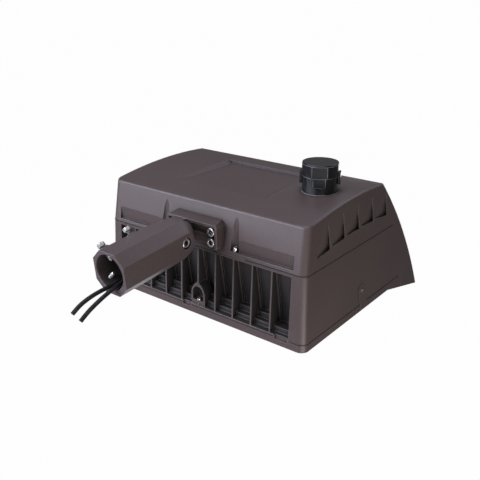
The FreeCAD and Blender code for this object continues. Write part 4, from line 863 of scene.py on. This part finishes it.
@dataclass(frozen=True)
class SocketScrew:
    """A socket-head screw with a knurled head, a hexagon socket and a cut thread.

    Attributes:
        head_radius: radius of the head, and the socket's width across its flats.
        head: height of the head.
        radius: radius of the thread's crest.
        length: length under the head.
        pitch: the thread's pitch.
        flutes: knurls round the head.
        thread: depth of the thread, as a share of its pitch.
        steps: rows in one pitch.
        knurl: depth of the knurl, as a share of the head's radius.
        point: radius of the shank's end, as a share of the crest's.
        rim: the head's height over the radius of its rounded rim.
        rim_rows: rows of that rim.
        foot: the head's radius at its seat and the rise of its lowest edge, as shares.
        mouth: width of the socket's chamfered mouth and its depth, as shares.
        depth: depth of the socket's wall and of its point, as shares of the head's height.
        crease: edges sharper than this angle in degrees stay sharp.
    """
    head_radius: float
    head: float
    radius: float
    length: float
    pitch: float
    flutes: int = 30
    thread: float = 0.5
    steps: int = 4
    knurl: float = 0.035
    point: float = 0.7
    rim: float = 7.0
    rim_rows: int = 5
    foot: Span = (0.95, 0.05)
    mouth: Span = (1.12, 0.04)
    depth: Span = (0.5, 0.6)
    crease: float = 30.0

    def points(self, seat: Point, axis: Point) -> np.ndarray:
        """One closed surface from the shank's point to the bottom of the socket.

        The shank's radius falls from its crest by a thread's triangle wave. The head's side is a
        circle less a step at every other angle, which is its knurl, under a rounded rim, and the
        socket's wall is a hexagon.

        Args:
            seat: where the head rests.
            axis: direction of the shank.

        Returns:
            Array (1, rows, columns, 3) of points.
        """
        angle = around(2 * self.flutes)
        flat = np.ones_like(angle)
        end = self.pitch / 2
        run = np.arange(end, self.length - end, self.pitch / self.steps)
        thread = self.radius - self.thread * self.pitch * thread_drop(run, angle, self.pitch)
        knurl = self.head_radius - self.knurl * self.head_radius * (np.arange(angle.size) % 2)
        rim = self.head / self.rim
        t = np.linspace(0.0, np.pi / 2, self.rim_rows)
        rounded = (self.head_radius - rim + rim * np.cos(t))[:, None] * flat
        hexagon = hexagon_reach(angle, self.head_radius)
        radius = np.vstack([0 * flat, self.point * self.radius * flat, thread, self.radius * flat,
                            self.foot[0] * knurl, knurl, knurl, rounded,
                            self.mouth[0] * hexagon, hexagon, hexagon, 0 * flat])
        top = self.length + self.head
        side = [self.length, self.length, self.length + self.foot[1] * self.head, top - 2 * rim]
        socket = top - self.head * np.array([0.0, self.mouth[1], *self.depth])
        height = np.concatenate([[0.0, 0.0], run, side, top - rim + rim * np.sin(t), socket])
        into = Vector(axis).normalized()
        return turned(radius, height, tuple(Vector(seat) + self.length * into), tuple(-into))

    def drive(self, node: str, body: str, seats: list[Point], axis: Point) -> str:
        """Sets such screws on their seats as one piece, which stands for a node.

        Args:
            node: the node.
            body: the body that it moves with.
            seats: where the heads rest.
            axis: direction of the shanks.

        Returns:
            The piece's name.
        """
        points = np.concatenate([self.points(seat, axis) for seat in seats])
        piece = surface(node + "_knurled", points, self.crease)
        return settle(piece, body, "stainless", Palette.STAINLESS, node)


@dataclass
class SupplyCables:
    """The two supply cables that hang out of the arm's mouth, cut bare.

    Attributes:
        diameter: the jacket's diameter in metres.
        order: order of the curve.
        steps: points between two control points.
        facets: how finely the jacket is rounded.
        power_length: length of the power cable in metres.
        control_length: length of the control cable in metres.
        power_route: control points of the power cable in millimetres.
        control_route: control points of the control cable in millimetres.
    """
    diameter: float = 0.007
    order: int = 3
    steps: int = 10
    facets: int = 6
    power_length: float = 0.1964
    control_length: float = 0.1932
    power_route: tuple[Point, ...] = (
        (2, 115, -4.8), (2, 98, -6.4), (1.4, 76, -11), (0.6, 50, -17.6), (0.2, 24, -22),
        (0, -6, -23.3), (0, -32, -24.9), (0, -53, -29.2), (0.2, -66.5, -34.4), (0.5, -76.7, -40.4))
    control_route: tuple[Point, ...] = (
        (12, 115, -4.8), (12, 98, -6.3), (11.6, 76, -9.9), (10.8, 52, -14.2), (10, 28, -17.4),
        (9.6, 4, -22), (9.6, -22, -29.6), (9.8, -42, -37), (10, -57.5, -43.9), (10.2, -70.5, -52.2))

    def lay(self, name: str, route: tuple[Point, ...]) -> str:
        """Lays one cable on a smooth curve along its route's control points.

        Args:
            name: the node that the cable stands for.
            route: control points in millimetres.

        Returns:
            The piece's name.
        """
        curve = bpy.data.curves.new(name + "_run", "CURVE")
        curve.dimensions, curve.resolution_u = "3D", self.steps
        curve.bevel_depth, curve.bevel_resolution = self.diameter / 2, self.facets
        curve.use_fill_caps = True
        spline = curve.splines.new("NURBS")
        spline.points.add(len(route) - 1)
        points = np.column_stack([np.array(route, float) * MM, np.ones(len(route))])
        spline.points.foreach_set("co", points.ravel())
        spline.order_u, spline.use_endpoint_u = self.order, True
        piece = stand(name + "_run", curve)
        settle(piece, "arm", "cable_jacket", Palette.JACKET, name)
        return piece.name

    def build(self) -> list[str]:
        """Lays both cables and gives their names."""
        return [self.lay("power_cable", self.power_route),
                self.lay("control_cable", self.control_route)]


@dataclass
class Head:
    """Cover, heat sink and frame, with their seals and screws.

    Attributes:
        cover_screw: the screw in the rear scallops.
        corner: radius of the head's rear corners.
        lip_radius: radius of a seal's lip.
        lip_sink: how far the lip's middle is sunk.
        lip_taper: the lip's ends grow over one in so many of half its line.
        lip_grid: rows along a lip, and columns round it.
        lip_crease: edges of a lip sharper than this angle in degrees stay sharp.
        cover_seam: half width, rear face and height of the cover's seam.
        frame_seam: half width, rear face and height of the frame's seam.
        cover_lip_end: where the cover's lip ends on the rear face, from the middle.
        frame_lip_end: where the frame's side lips end on the rear face, from the middle.
        frame_front: where the frame's lip starts along the side.
        rear_runs: the stretches of the frame's lip on the rear face.
        roof_middle: middle of the roof's arc, along the head and up.
        roof_radius: radius of the roof's arc.
        recess_half: half width of the roof's recess.
        recess_run: the recess's rear and front.
        recess_depth: its depth at the front.
        recess_slope: width of its side slopes over their height.
        recess_bow: power by which a slope's height falls.
        recess_sink: how far a slope's back is sunk.
        recess_skin: a slope's face is sunk by one in so many of that.
        recess_grid: rows along a slope, and points across it.
        recess_crease: edges of a slope sharper than this angle in degrees stay sharp.
    """
    cover_screw: SocketScrew = SocketScrew(0.0043, 0.0085, 0.0025, 0.012, 0.0008, 24)
    corner: float = 0.015
    lip_radius: float = 0.0012
    lip_sink: float = 0.00065
    lip_taper: float = 40.0
    lip_grid: tuple[int, int] = (180, 10)
    lip_crease: float = 60.0
    cover_seam: Point = (0.232036, 0.208309, -0.020094)
    frame_seam: Point = (0.237272, 0.203041, -0.143894)
    cover_lip_end: float = 0.105
    frame_lip_end: float = 0.204
    frame_front: float = 0.57
    rear_runs: tuple[Span, ...] = ((-0.177, -0.037), (-0.0165, 0.177))
    roof_middle: Span = (0.399797, -0.871318)
    roof_radius: float = 0.95
    recess_half: float = 0.103
    recess_run: Span = (0.276309, 0.428309)
    recess_depth: float = 0.005
    recess_slope: float = 1.6
    recess_bow: float = 1.3
    recess_sink: float = 0.0003
    recess_skin: float = 6.0
    recess_grid: tuple[int, int] = (80, 8)
    recess_crease: float = 50.0

    def roof(self, y: np.ndarray) -> np.ndarray:
        """Height of the roof's arc at distances along the head."""
        drop = y - self.roof_middle[0]
        return self.roof_middle[1] + np.sqrt(self.roof_radius ** 2 - drop ** 2)

    def recess_slopes(self) -> str:
        """The sloped walls at both sides of the roof's recess.

        Along the recess the depth is the roof's arc less the flat floor. A slope falls by that
        depth over a width in proportion to it, its height going with a power of the way left.
        Its back is sunk in the wall and the floor.

        Returns:
            The piece's name.
        """
        rear, front = self.recess_run
        rows, columns = self.recess_grid
        y = np.linspace(rear, front + self.recess_sink, rows)[:, None]
        ends = self.roof(np.array(self.recess_run)) - np.array([0.0, self.recess_depth])
        floor = ends[0] + (ends[1] - ends[0]) * (y - rear) / (front - rear)
        depth = np.maximum(self.roof(y) - floor, 0.0)
        width = self.recess_slope * depth
        t = np.linspace(0.0, 1.0, columns)
        sunk = np.full_like(y, -self.recess_sink)
        fall = floor + depth * (1 - t) ** self.recess_bow + sunk / self.recess_skin
        x = np.hstack([sunk, width * t, width, sunk])
        z = np.hstack([floor + depth + sunk, fall, floor + sunk, floor + sunk])
        wall = np.stack([x, np.broadcast_to(y, x.shape), z], axis=-1)
        tips = wall[[0, -1]].mean(axis=1, keepdims=True)
        tips = np.broadcast_to(tips, (2, *wall.shape[1:]))
        wall = np.concatenate([tips[:1], wall, tips[1:]]) - np.array([self.recess_half, 0.0, 0.0])
        sides = np.stack([wall, wall * np.array([-1.0, 1.0, 1.0])])
        piece = surface("roof_recess_slopes", sides, self.recess_crease)
        return settle(piece, "head", "bronze", Palette.COVER_BRONZE)

    def side_run(self, seam: Point, front: float, stop: float, side: int) -> np.ndarray:
        """The line along one side of the head and round its rear corner.

        It runs straight to the rear, turns a quarter circle, and runs inwards along the rear face.

        Args:
            seam: half width, rear face and height of the seam.
            front: where the line starts along the side.
            stop: where it ends along the rear face, from the middle.
            side: 1 for the right side, -1 for the left.

        Returns:
            Array (rows, 4) of place and outward direction in plan.
        """
        half, rear, _ = seam
        along = front - rear - self.corner
        turn = self.corner * np.pi / 2
        inwards = half - self.corner - stop
        s = np.linspace(0.0, along + turn + inwards, self.lip_grid[0])
        angle = np.clip((s - along) / self.corner, 0.0, np.pi / 2)
        x = half - self.corner * (1 - np.cos(angle)) - np.clip(s - along - turn, 0.0, inwards)
        y = front - np.minimum(s, along) - self.corner * np.sin(angle)
        return np.stack([side * x, y, side * np.cos(angle), -np.sin(angle)], axis=1)

    def rear_run(self, seam: Point, ends: Span) -> np.ndarray:
        """A straight line along the rear face, as rows of place and outward direction in plan."""
        x = np.linspace(*ends, self.lip_grid[0])
        return np.stack([x, np.full_like(x, seam[1]), np.zeros_like(x), -np.ones_like(x)], axis=1)

    def seam_lip(self, name: str, seam: Point, runs: list[np.ndarray]) -> str:
        """The seal's lip in a seam: a small circle, mostly sunk, carried along lines in plan.

        The circle's radius grows from nothing at each end of a line with the root of the distance.

        Args:
            name: the piece's name.
            seam: half width, rear face and height of the seam.
            runs: lines of place and outward direction.

        Returns:
            The piece's name.
        """
        rows, columns = self.lip_grid
        ring = around(columns)
        t = np.linspace(-1.0, 1.0, rows)
        grown = np.sqrt(np.clip((1 - np.abs(t)) * self.lip_taper, 0.0, 1.0))
        radius = self.lip_radius * grown[:, None]
        out = radius * np.cos(ring) - self.lip_sink
        lines = np.stack(runs)[:, :, None]
        plan = lines[..., :2] + lines[..., 2:] * out[..., None]
        up = np.broadcast_to((seam[2] + radius * np.sin(ring))[..., None], (*plan.shape[:3], 1))
        piece = surface(name, np.concatenate([plan, up], axis=-1), self.lip_crease)
        return settle(piece, "head", "seal", Palette.LIP_SEAL)

    def seam_lips(self) -> list[str]:
        """The lips of the cover's seam and of the frame's, left open at the rim's notches.

        Returns:
            The pieces' names.
        """
        cover_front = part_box("cover_gasket")[1][1] - 2 * self.corner
        cover_lines = [self.side_run(self.cover_seam, cover_front, self.cover_lip_end, side)
                       for side in (-1, 1)]
        frame_lines = [self.side_run(self.frame_seam, self.frame_front, self.frame_lip_end, side)
                       for side in (-1, 1)]
        frame_lines += [self.rear_run(self.frame_seam, ends) for ends in self.rear_runs]
        return [self.seam_lip("cover_seam_lip", self.cover_seam, cover_lines),
                self.seam_lip("frame_seam_lip", self.frame_seam, frame_lines)]

    def cover_screws(self) -> str:
        """The two screws in the rear scallops, heads up.

        Returns:
            The piece's name.
        """
        low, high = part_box("cover_screws")
        radius, y = self.cover_screw.head_radius, box_middle("cover_screws")[1]
        seats = [(x, y, high[2] - self.cover_screw.head)
                 for x in (low[0] + radius, high[0] - radius)]
        return self.cover_screw.drive("cover_screws", "head", seats, (0, 0, -1))

    def build(self) -> list[str]:
        """Dresses the head's castings, seals and fasteners.

        Returns:
            The names of nodes and pieces.
        """
        made = dress_nodes({
            Palette.COVER_BRONZE: ("driver_cover",),
            Palette.BRONZE: ("lens_frame",),
            Palette.FIN_BRONZE: ("heat_sink_housing",),
            Palette.COLOUR_SEAL: ("cover_gasket",),
            Palette.SEAL: ("frame_gasket", "lens_gasket"),
            Palette.COATED_SCREW: ("frame_side_screws",),
            Palette.STAINLESS: ("frame_rear_screw", "board_screws", "driver_screws"),
        })
        return made + [self.cover_screws(), *self.seam_lips(), self.recess_slopes()]


@dataclass
class LightEngine:
    """Board, emitters, glass and what drives them."""
    columns: int = 8
    rows: int = 6
    pitch: float = 0.040
    dome_radius: float = 0.0075
    dome_rise: float = 0.0058
    dome_grid: tuple[int, int] = (9, 20)
    flange_radius: float = 0.0088
    flange: Span = (0.0002, 0.0011)

    def lens_domes(self) -> str:
        """A clear dome over each emitter.

        A dome is a quarter ellipse turned about the emitter's axis, with a thin flange at its
        foot: its radius falls with the cosine, and its drop below the board grows with the sine,
        of one parameter.

        Returns:
            The piece's name.
        """
        middle = box_middle("led_emitters")
        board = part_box("led_board")[0][2]
        top, foot = self.flange
        t = np.linspace(0.0, np.pi / 2, self.dome_grid[0])
        angle = around(self.dome_grid[1])
        radius = np.concatenate([[0.0, self.flange_radius, self.flange_radius],
                                 self.dome_radius * np.cos(t)])[:, None]
        drop = np.concatenate([[top, top, foot], foot + self.dome_rise * np.sin(t)])[:, None]
        x, y = radius * np.cos(angle), radius * np.sin(angle)
        dome = np.stack([x, y, np.broadcast_to(board - drop, x.shape)], axis=-1)
        across = (np.arange(self.columns) - (self.columns - 1) / 2) * self.pitch + middle[0]
        along = (np.arange(self.rows) - (self.rows - 1) / 2) * self.pitch + middle[1]
        level = np.zeros((self.rows, self.columns))
        spots = np.stack([*np.meshgrid(across, along), level], axis=-1).reshape(-1, 1, 1, 3)
        return settle(surface("led_lens_domes", dome[None] + spots), "head", "glass", Palette.LENS)

    def build(self) -> list[str]:
        """Dresses the engine's nodes and adds the domes.

        Returns:
            The names of nodes and pieces.
        """
        made = dress_nodes({
            Palette.MASK: ("led_board",),
            Palette.PHOSPHOR: ("led_emitters",),
            Palette.GLASS: ("lens_glass",),
            Palette.CASE: ("led_driver",),
            Palette.POTTING: ("surge_protector",),
            Palette.TERMINAL: ("terminal_block",),
        })
        return made + [self.lens_domes()]


@dataclass
class Photocontrol:
    """The twist-lock control on the roof, with its receptacle.

    Attributes:
        nub_radius: radius of the nub on the cap's top.
        nub_rise: its height.
        nub_sink: how far its foot is sunk.
        nub_grid: rows up the nub, and columns round it.
        cap_disc: height of the cap's top disc.
        disc_radius: radius of the cap.
        cap_flat: distance of the cap's flat from the axis.
        cap_flat_foot: height of that flat's foot over the cap's.
        rim_radius: radius of the receptacle's rim.
        rim_flat: distance of the receptacle's flat from the axis.
        rim_flat_height: height of that flat.
        foot_radius: radius of the bead at the receptacle's foot.
        flat_heading: where the flats face, in degrees from the rear towards the right.
        bead_size: radius of the bead of a painted highlight line on an edge.
        bead_grid: points round a bead's outline, and round the bead.
        line_grid: points up a corner's bead, and round it.
        line_power: power by which a corner's bead thins towards its ends.
        bead_crease: edges of a bead sharper than this angle in degrees stay sharp.
    """
    nub_radius: float = 0.0017
    nub_rise: float = 0.0007
    nub_sink: float = 0.0001
    nub_grid: tuple[int, int] = (7, 24)
    cap_disc: float = 0.0032
    disc_radius: float = 0.03255
    cap_flat: float = 0.0296
    cap_flat_foot: float = 0.0147
    rim_radius: float = 0.0321
    rim_flat: float = 0.0302
    rim_flat_height: float = 0.0158
    foot_radius: float = 0.0326
    flat_heading: float = 29.0
    bead_size: float = 0.0004
    bead_grid: tuple[int, int] = (240, 13)
    line_grid: tuple[int, int] = (17, 10)
    line_power: int = 8
    bead_crease: float = 60.0
    LEAST_FACING = 1e-3

    def bead(self, name: str, middle: Point, radius: float, flat: float) -> bpy.types.Object:
        """A fine bead round the control, for a painted highlight line: a small circle carried along
        its outline.

        The outline's reach at an angle is the lesser of the circle's radius and the flat's
        distance over the cosine of the angle from the flat's heading.

        Args:
            name: the piece's name.
            middle: the outline's middle.
            radius: the outline's radius.
            flat: the flat's distance from the axis.

        Returns:
            The new piece.
        """
        angle = around(self.bead_grid[0])
        ring = np.linspace(0.0, 2 * np.pi, self.bead_grid[1])[:, None]
        facing = np.cos(angle - math.radians(self.flat_heading))
        reach = np.minimum(radius, flat / np.maximum(facing, self.LEAST_FACING))
        out = reach + self.bead_size * np.cos(ring)
        up = np.broadcast_to(self.bead_size * np.sin(ring), out.shape)
        points = np.stack([out * np.sin(angle), -out * np.cos(angle), up], axis=-1)
        return surface(name, (points + np.array(middle))[None], self.bead_crease)

    def corner_lines(self, name: str, middle: Point, radius: float, flat: float,
                     height: float) -> bpy.types.Object:
        """Fine upright beads on a flat's two corners, for painted highlight lines.

        Each is a spindle whose radius is the bead's times the root of one less a high power of
        the distance from its middle, at the angle where the circle meets the flat.

        Args:
            name: the piece's name.
            middle: the outline's middle at the beads' foot.
            radius: the outline's radius.
            flat: the flat's distance from the axis.
            height: the beads' height.

        Returns:
            The new piece.
        """
        t = np.linspace(-1.0, 1.0, self.line_grid[0])
        thin = np.sqrt(1 - t ** self.line_power)[:, None]
        spindle = self.bead_size * thin * np.ones(self.line_grid[1])
        half = math.acos(flat / radius)
        headings = [math.radians(self.flat_heading) + side * half for side in (-1, 1)]
        ways = [np.array([math.sin(heading), -math.cos(heading), 0.0]) for heading in headings]
        lines = [turned(spindle, (t + 1) * height / 2, tuple(np.array(middle) + radius * way),
                        (0, 0, 1)) for way in ways]
        return surface(name, np.concatenate(lines), self.bead_crease)

    def beads(self) -> list[str]:
        """Painted highlight lines on the edges of the cap's top disc, the receptacle's rim and
        foot, and both flats.

        Returns:
            The pieces' names.
        """
        low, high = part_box("photocontrol_cap")
        x, y, _ = box_middle("photocontrol_cap")
        ledge = high[2] - self.cap_disc
        rim_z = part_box("receptacle")[1][2] - self.bead_size
        foot_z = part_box("receptacle_gasket")[1][2]
        disc = self.bead("cap_disc_bead", (x, y, ledge), self.disc_radius, self.disc_radius)
        rim = self.bead("receptacle_rim_bead", (x, y, rim_z), self.rim_radius, self.rim_flat)
        foot = self.bead("receptacle_base_bead", (x, y, foot_z), self.foot_radius, self.foot_radius)
        cap = self.corner_lines("cap_flat_edges", (x, y, low[2] + self.cap_flat_foot),
                                self.disc_radius, self.cap_flat,
                                ledge - low[2] - self.cap_flat_foot)
        seat = self.corner_lines("receptacle_flat_edges", (x, y, rim_z - self.rim_flat_height),
                                 self.rim_radius, self.rim_flat, self.rim_flat_height)
        # The beads take a pale grey on the black mouldings, as painted highlight lines.
        return [settle(piece, body, slot, Palette.HIGHLIGHT_MOULDING) for body, slot, pieces in (
            ("photocontrol", "photocontrol", (disc, cap)),
            ("head", "receptacle", (rim, foot, seat))) for piece in pieces]

    def gate_nub(self) -> str:
        """The small moulding nub on the cap's top.

        It is a low dome whose height is the cosine of its radius's share of a quarter turn.

        Returns:
            The piece's name.
        """
        x, y, _ = box_middle("photocontrol_cap")
        spot = (x, y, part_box("photocontrol_cap")[1][2] - self.nub_sink)
        share = np.linspace(1.0, 0.0, self.nub_grid[0])
        radius = np.repeat((self.nub_radius * share)[:, None], self.nub_grid[1], axis=1)
        height = self.nub_rise * np.cos(share * np.pi / 2)
        piece = surface("cap_gate_nub", turned(radius, height, spot, (0, 0, 1)))
        return settle(piece, "photocontrol", "photocontrol", Palette.BASE_SEAL)

    def build(self) -> list[str]:
        """Dresses cap, blades, receptacle and seal, and adds the nub and the painted highlight
        beads on the edges.

        Returns:
            The names of nodes and pieces.
        """
        made = dress_nodes({
            Palette.CONTROL: ("photocontrol_cap",),
            Palette.RECEPTACLE: ("receptacle", "receptacle_nut"),
            Palette.BASE_SEAL: ("receptacle_gasket",),
            Palette.BRASS: ("contact_blades",),
        })
        return made + [self.gate_nub(), *self.beads()]


@dataclass
class Knuckle:
    """Bracket, slip-fitter arm and the pivot between them."""
    bracket_bolt: SocketScrew = SocketScrew(0.008, 0.010, 0.005, 0.029, 0.0015)
    pivot_radius: float = 0.006
    pivot_head_radius: float = 0.009
    pivot_head: float = 0.012
    pivot_pitch: float = 0.00175
    pivot_flutes: int = 36

    def bracket_bolts(self) -> str:
        """The four bolts in the bracket's pockets, heads to the rear.

        Returns:
            The piece's name.
        """
        low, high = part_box("bracket_bolts")
        r = self.bracket_bolt.head_radius
        seats = [(x, low[1] + self.bracket_bolt.head, z) for x in (low[0] + r, high[0] - r)
                 for z in (low[2] + r, high[2] - r)]
        return self.bracket_bolt.drive("bracket_bolts", "head", seats, (0, 1, 0))

    def pivot_bolt(self) -> str:
        """The knuckle's pivot bolt, its head sunk in the arm's right side.

        Returns:
            The piece's name.
        """
        low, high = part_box("pivot_bolt")
        seat = (high[0] - self.pivot_head, *box_middle("pivot_bolt")[1:])
        bolt = SocketScrew(self.pivot_head_radius, self.pivot_head, self.pivot_radius,
                           seat[0] - low[0], self.pivot_pitch, self.pivot_flutes)
        return bolt.drive("pivot_bolt", "arm", [seat], (-1, 0, 0))

    def build(self) -> list[str]:
        """Dresses the knuckle's castings, seal and fasteners.

        Returns:
            The names of nodes and pieces.
        """
        made = dress_nodes({
            Palette.BRACKET_BRONZE: ("knuckle_bracket",),
            Palette.ARM_LIT_BRONZE: ("slip_fitter_arm",),
            Palette.SEAL: ("bracket_gasket", "cable_grommet"),
            Palette.STAINLESS: ("bracket_washers", "pivot_washer", "pivot_nut"),
        })
        return made + [self.bracket_bolts(), self.pivot_bolt()]


@dataclass
class SetScrews:
    """The four hex-head set screws that clamp a pole, with cut threads.

    Attributes:
        tilt: the arm's rise in degrees.
        facet: distance of the upper and the lower facet from the arm's axis.
        boss: height of a facet's boss.
        standoff: gap between boss and head.
        reach: how far a point stands into the bore.
        bore: the bore's radius.
        radius: radius of the thread's crest.
        pitch: the thread's pitch.
        thread: the thread's depth.
        steps: rows in one pitch.
        root: radius where the thread starts, as a share of the crest's.
        point: radii of the point's rows, as shares of the crest's.
        point_rise: height of the point's bevel.
        lead: the crest's radius over the distance from the point to the thread.
        neck: radius under the head, as a share of the crest's.
        neck_length: the plain length under the head.
        head_across: width of the head across its flats.
        head: height of the head.
        crown_low: heights of the head's lower rows.
        crown_high: drops of the head's upper rows below its top.
        cone: reach of the chamfering cone at these rows, as shares of half the width.
        crown: radius of the crown's inner row, as a share of its rim's.
        columns: points round a screw.
        crease: edges sharper than this angle in degrees stay sharp.
        upper: distance from the mouth and backing off of the upper row's screws.
        lower: the same for the lower row.
    """
    tilt: float = 5.2
    facet: Span = (0.0371231, 0.039598)
    boss: float = 0.003
    standoff: float = 0.0025
    reach: float = 0.015
    bore: float = 0.03075
    radius: float = 0.004
    pitch: float = 0.00125
    thread: float = 0.00068
    steps: int = 8
    root: float = 0.72
    point: tuple[float, float, float] = (0.0, 0.55, 0.66)
    point_rise: float = 0.0007
    lead: float = 3.0
    neck: float = 0.9
    neck_length: float = 0.0008
    head_across: float = 0.012
    head: float = 0.007
    crown_low: tuple[float, float, float] = (0.0, 0.0003, 0.0008)
    crown_high: tuple[float, float, float] = (0.0011, 0.0004, 0.0)
    cone: tuple[float, ...] = (1.0, 1.05, 1.16, 1.16, 1.06, 0.94)
    crown: float = 0.55
    columns: int = 48
    crease: float = 28.0
    upper: tuple[Span, ...] = ((0.018, 0.0), (0.0772, 0.0047))
    lower: tuple[Span, ...] = ((0.018, 0.0), (0.072, 0.0))

    def screw(self, name: str, side: int, at: float, out: float) -> str:
        """One screw, a single surface from its point to its crown.

        The shank's radius falls from its crest by a thread's triangle wave, faded in over one
        pitch; the head's radius is the hexagon's, cut by a cone near its two ends.

        Args:
            name: the node it stands for.
            side: 1 for the upper row, -1 for the lower row.
            at: distance from the mouth along the arm.
            out: how far it is backed off.

        Returns:
            The piece's name.
        """
        angle = around(self.columns)
        flat = np.ones_like(angle)
        tilt, slant = math.radians(self.tilt), math.sqrt(0.5)
        axis = (-slant, -side * slant * math.sin(tilt), side * slant * math.cos(tilt))
        start = (0.0, at * math.cos(tilt), at * math.sin(tilt))
        tip = self.bore - self.reach + out
        under = self.facet[0 if side > 0 else 1] + self.boss + self.standoff + out
        run = np.arange(tip + self.radius / self.lead, under - self.neck_length,
                        self.pitch / self.steps)
        crest = self.radius - self.thread * thread_drop(run, angle, self.pitch)
        fade = np.clip((run - run[0]) / self.pitch, 0.0, 1.0)[:, None]
        shank = crest * fade + (self.radius * self.root) * (1 - fade)
        cone = self.head_across / 2 * np.array(self.cone)
        sides = np.minimum(hexagon_reach(angle, self.head_across), cone[:, None])
        radius = np.vstack([np.array(self.point)[:, None] * self.radius * flat, shank,
                            self.neck * self.radius * flat, sides, self.crown * sides[-1],
                            0 * flat])
        rows = np.concatenate([self.crown_low, self.head - np.array(self.crown_high)])
        height = np.concatenate([[tip, tip, tip + self.point_rise], run, [under], under + rows,
                                 [under + self.head] * 2])
        piece = surface(name + "_threaded", turned(radius, height, start, axis), self.crease)
        return settle(piece, name, "stainless", Palette.SATIN, name)

    def build(self) -> list[str]:
        """Makes the four screws and gives their names."""
        places = [(1, *place) for place in self.upper] + [(-1, *place) for place in self.lower]
        return [self.screw(f"set_screw_{i}", *place) for i, place in enumerate(places, 1)]


def main() -> None:
    """Builds camera, cables, sub-assemblies and studio in order, and reports each piece."""
    logging.basicConfig(level=logging.INFO, format="%(name)s: %(message)s")
    for part in (Viewpoint(), SupplyCables(), Head(), LightEngine(), Photocontrol(), Knuckle(),
                 SetScrews(), Studio()):
        for name in part.build():
            LOG.info("%s: %s", type(part).__name__, name)


if __name__ == "__main__":
    main()
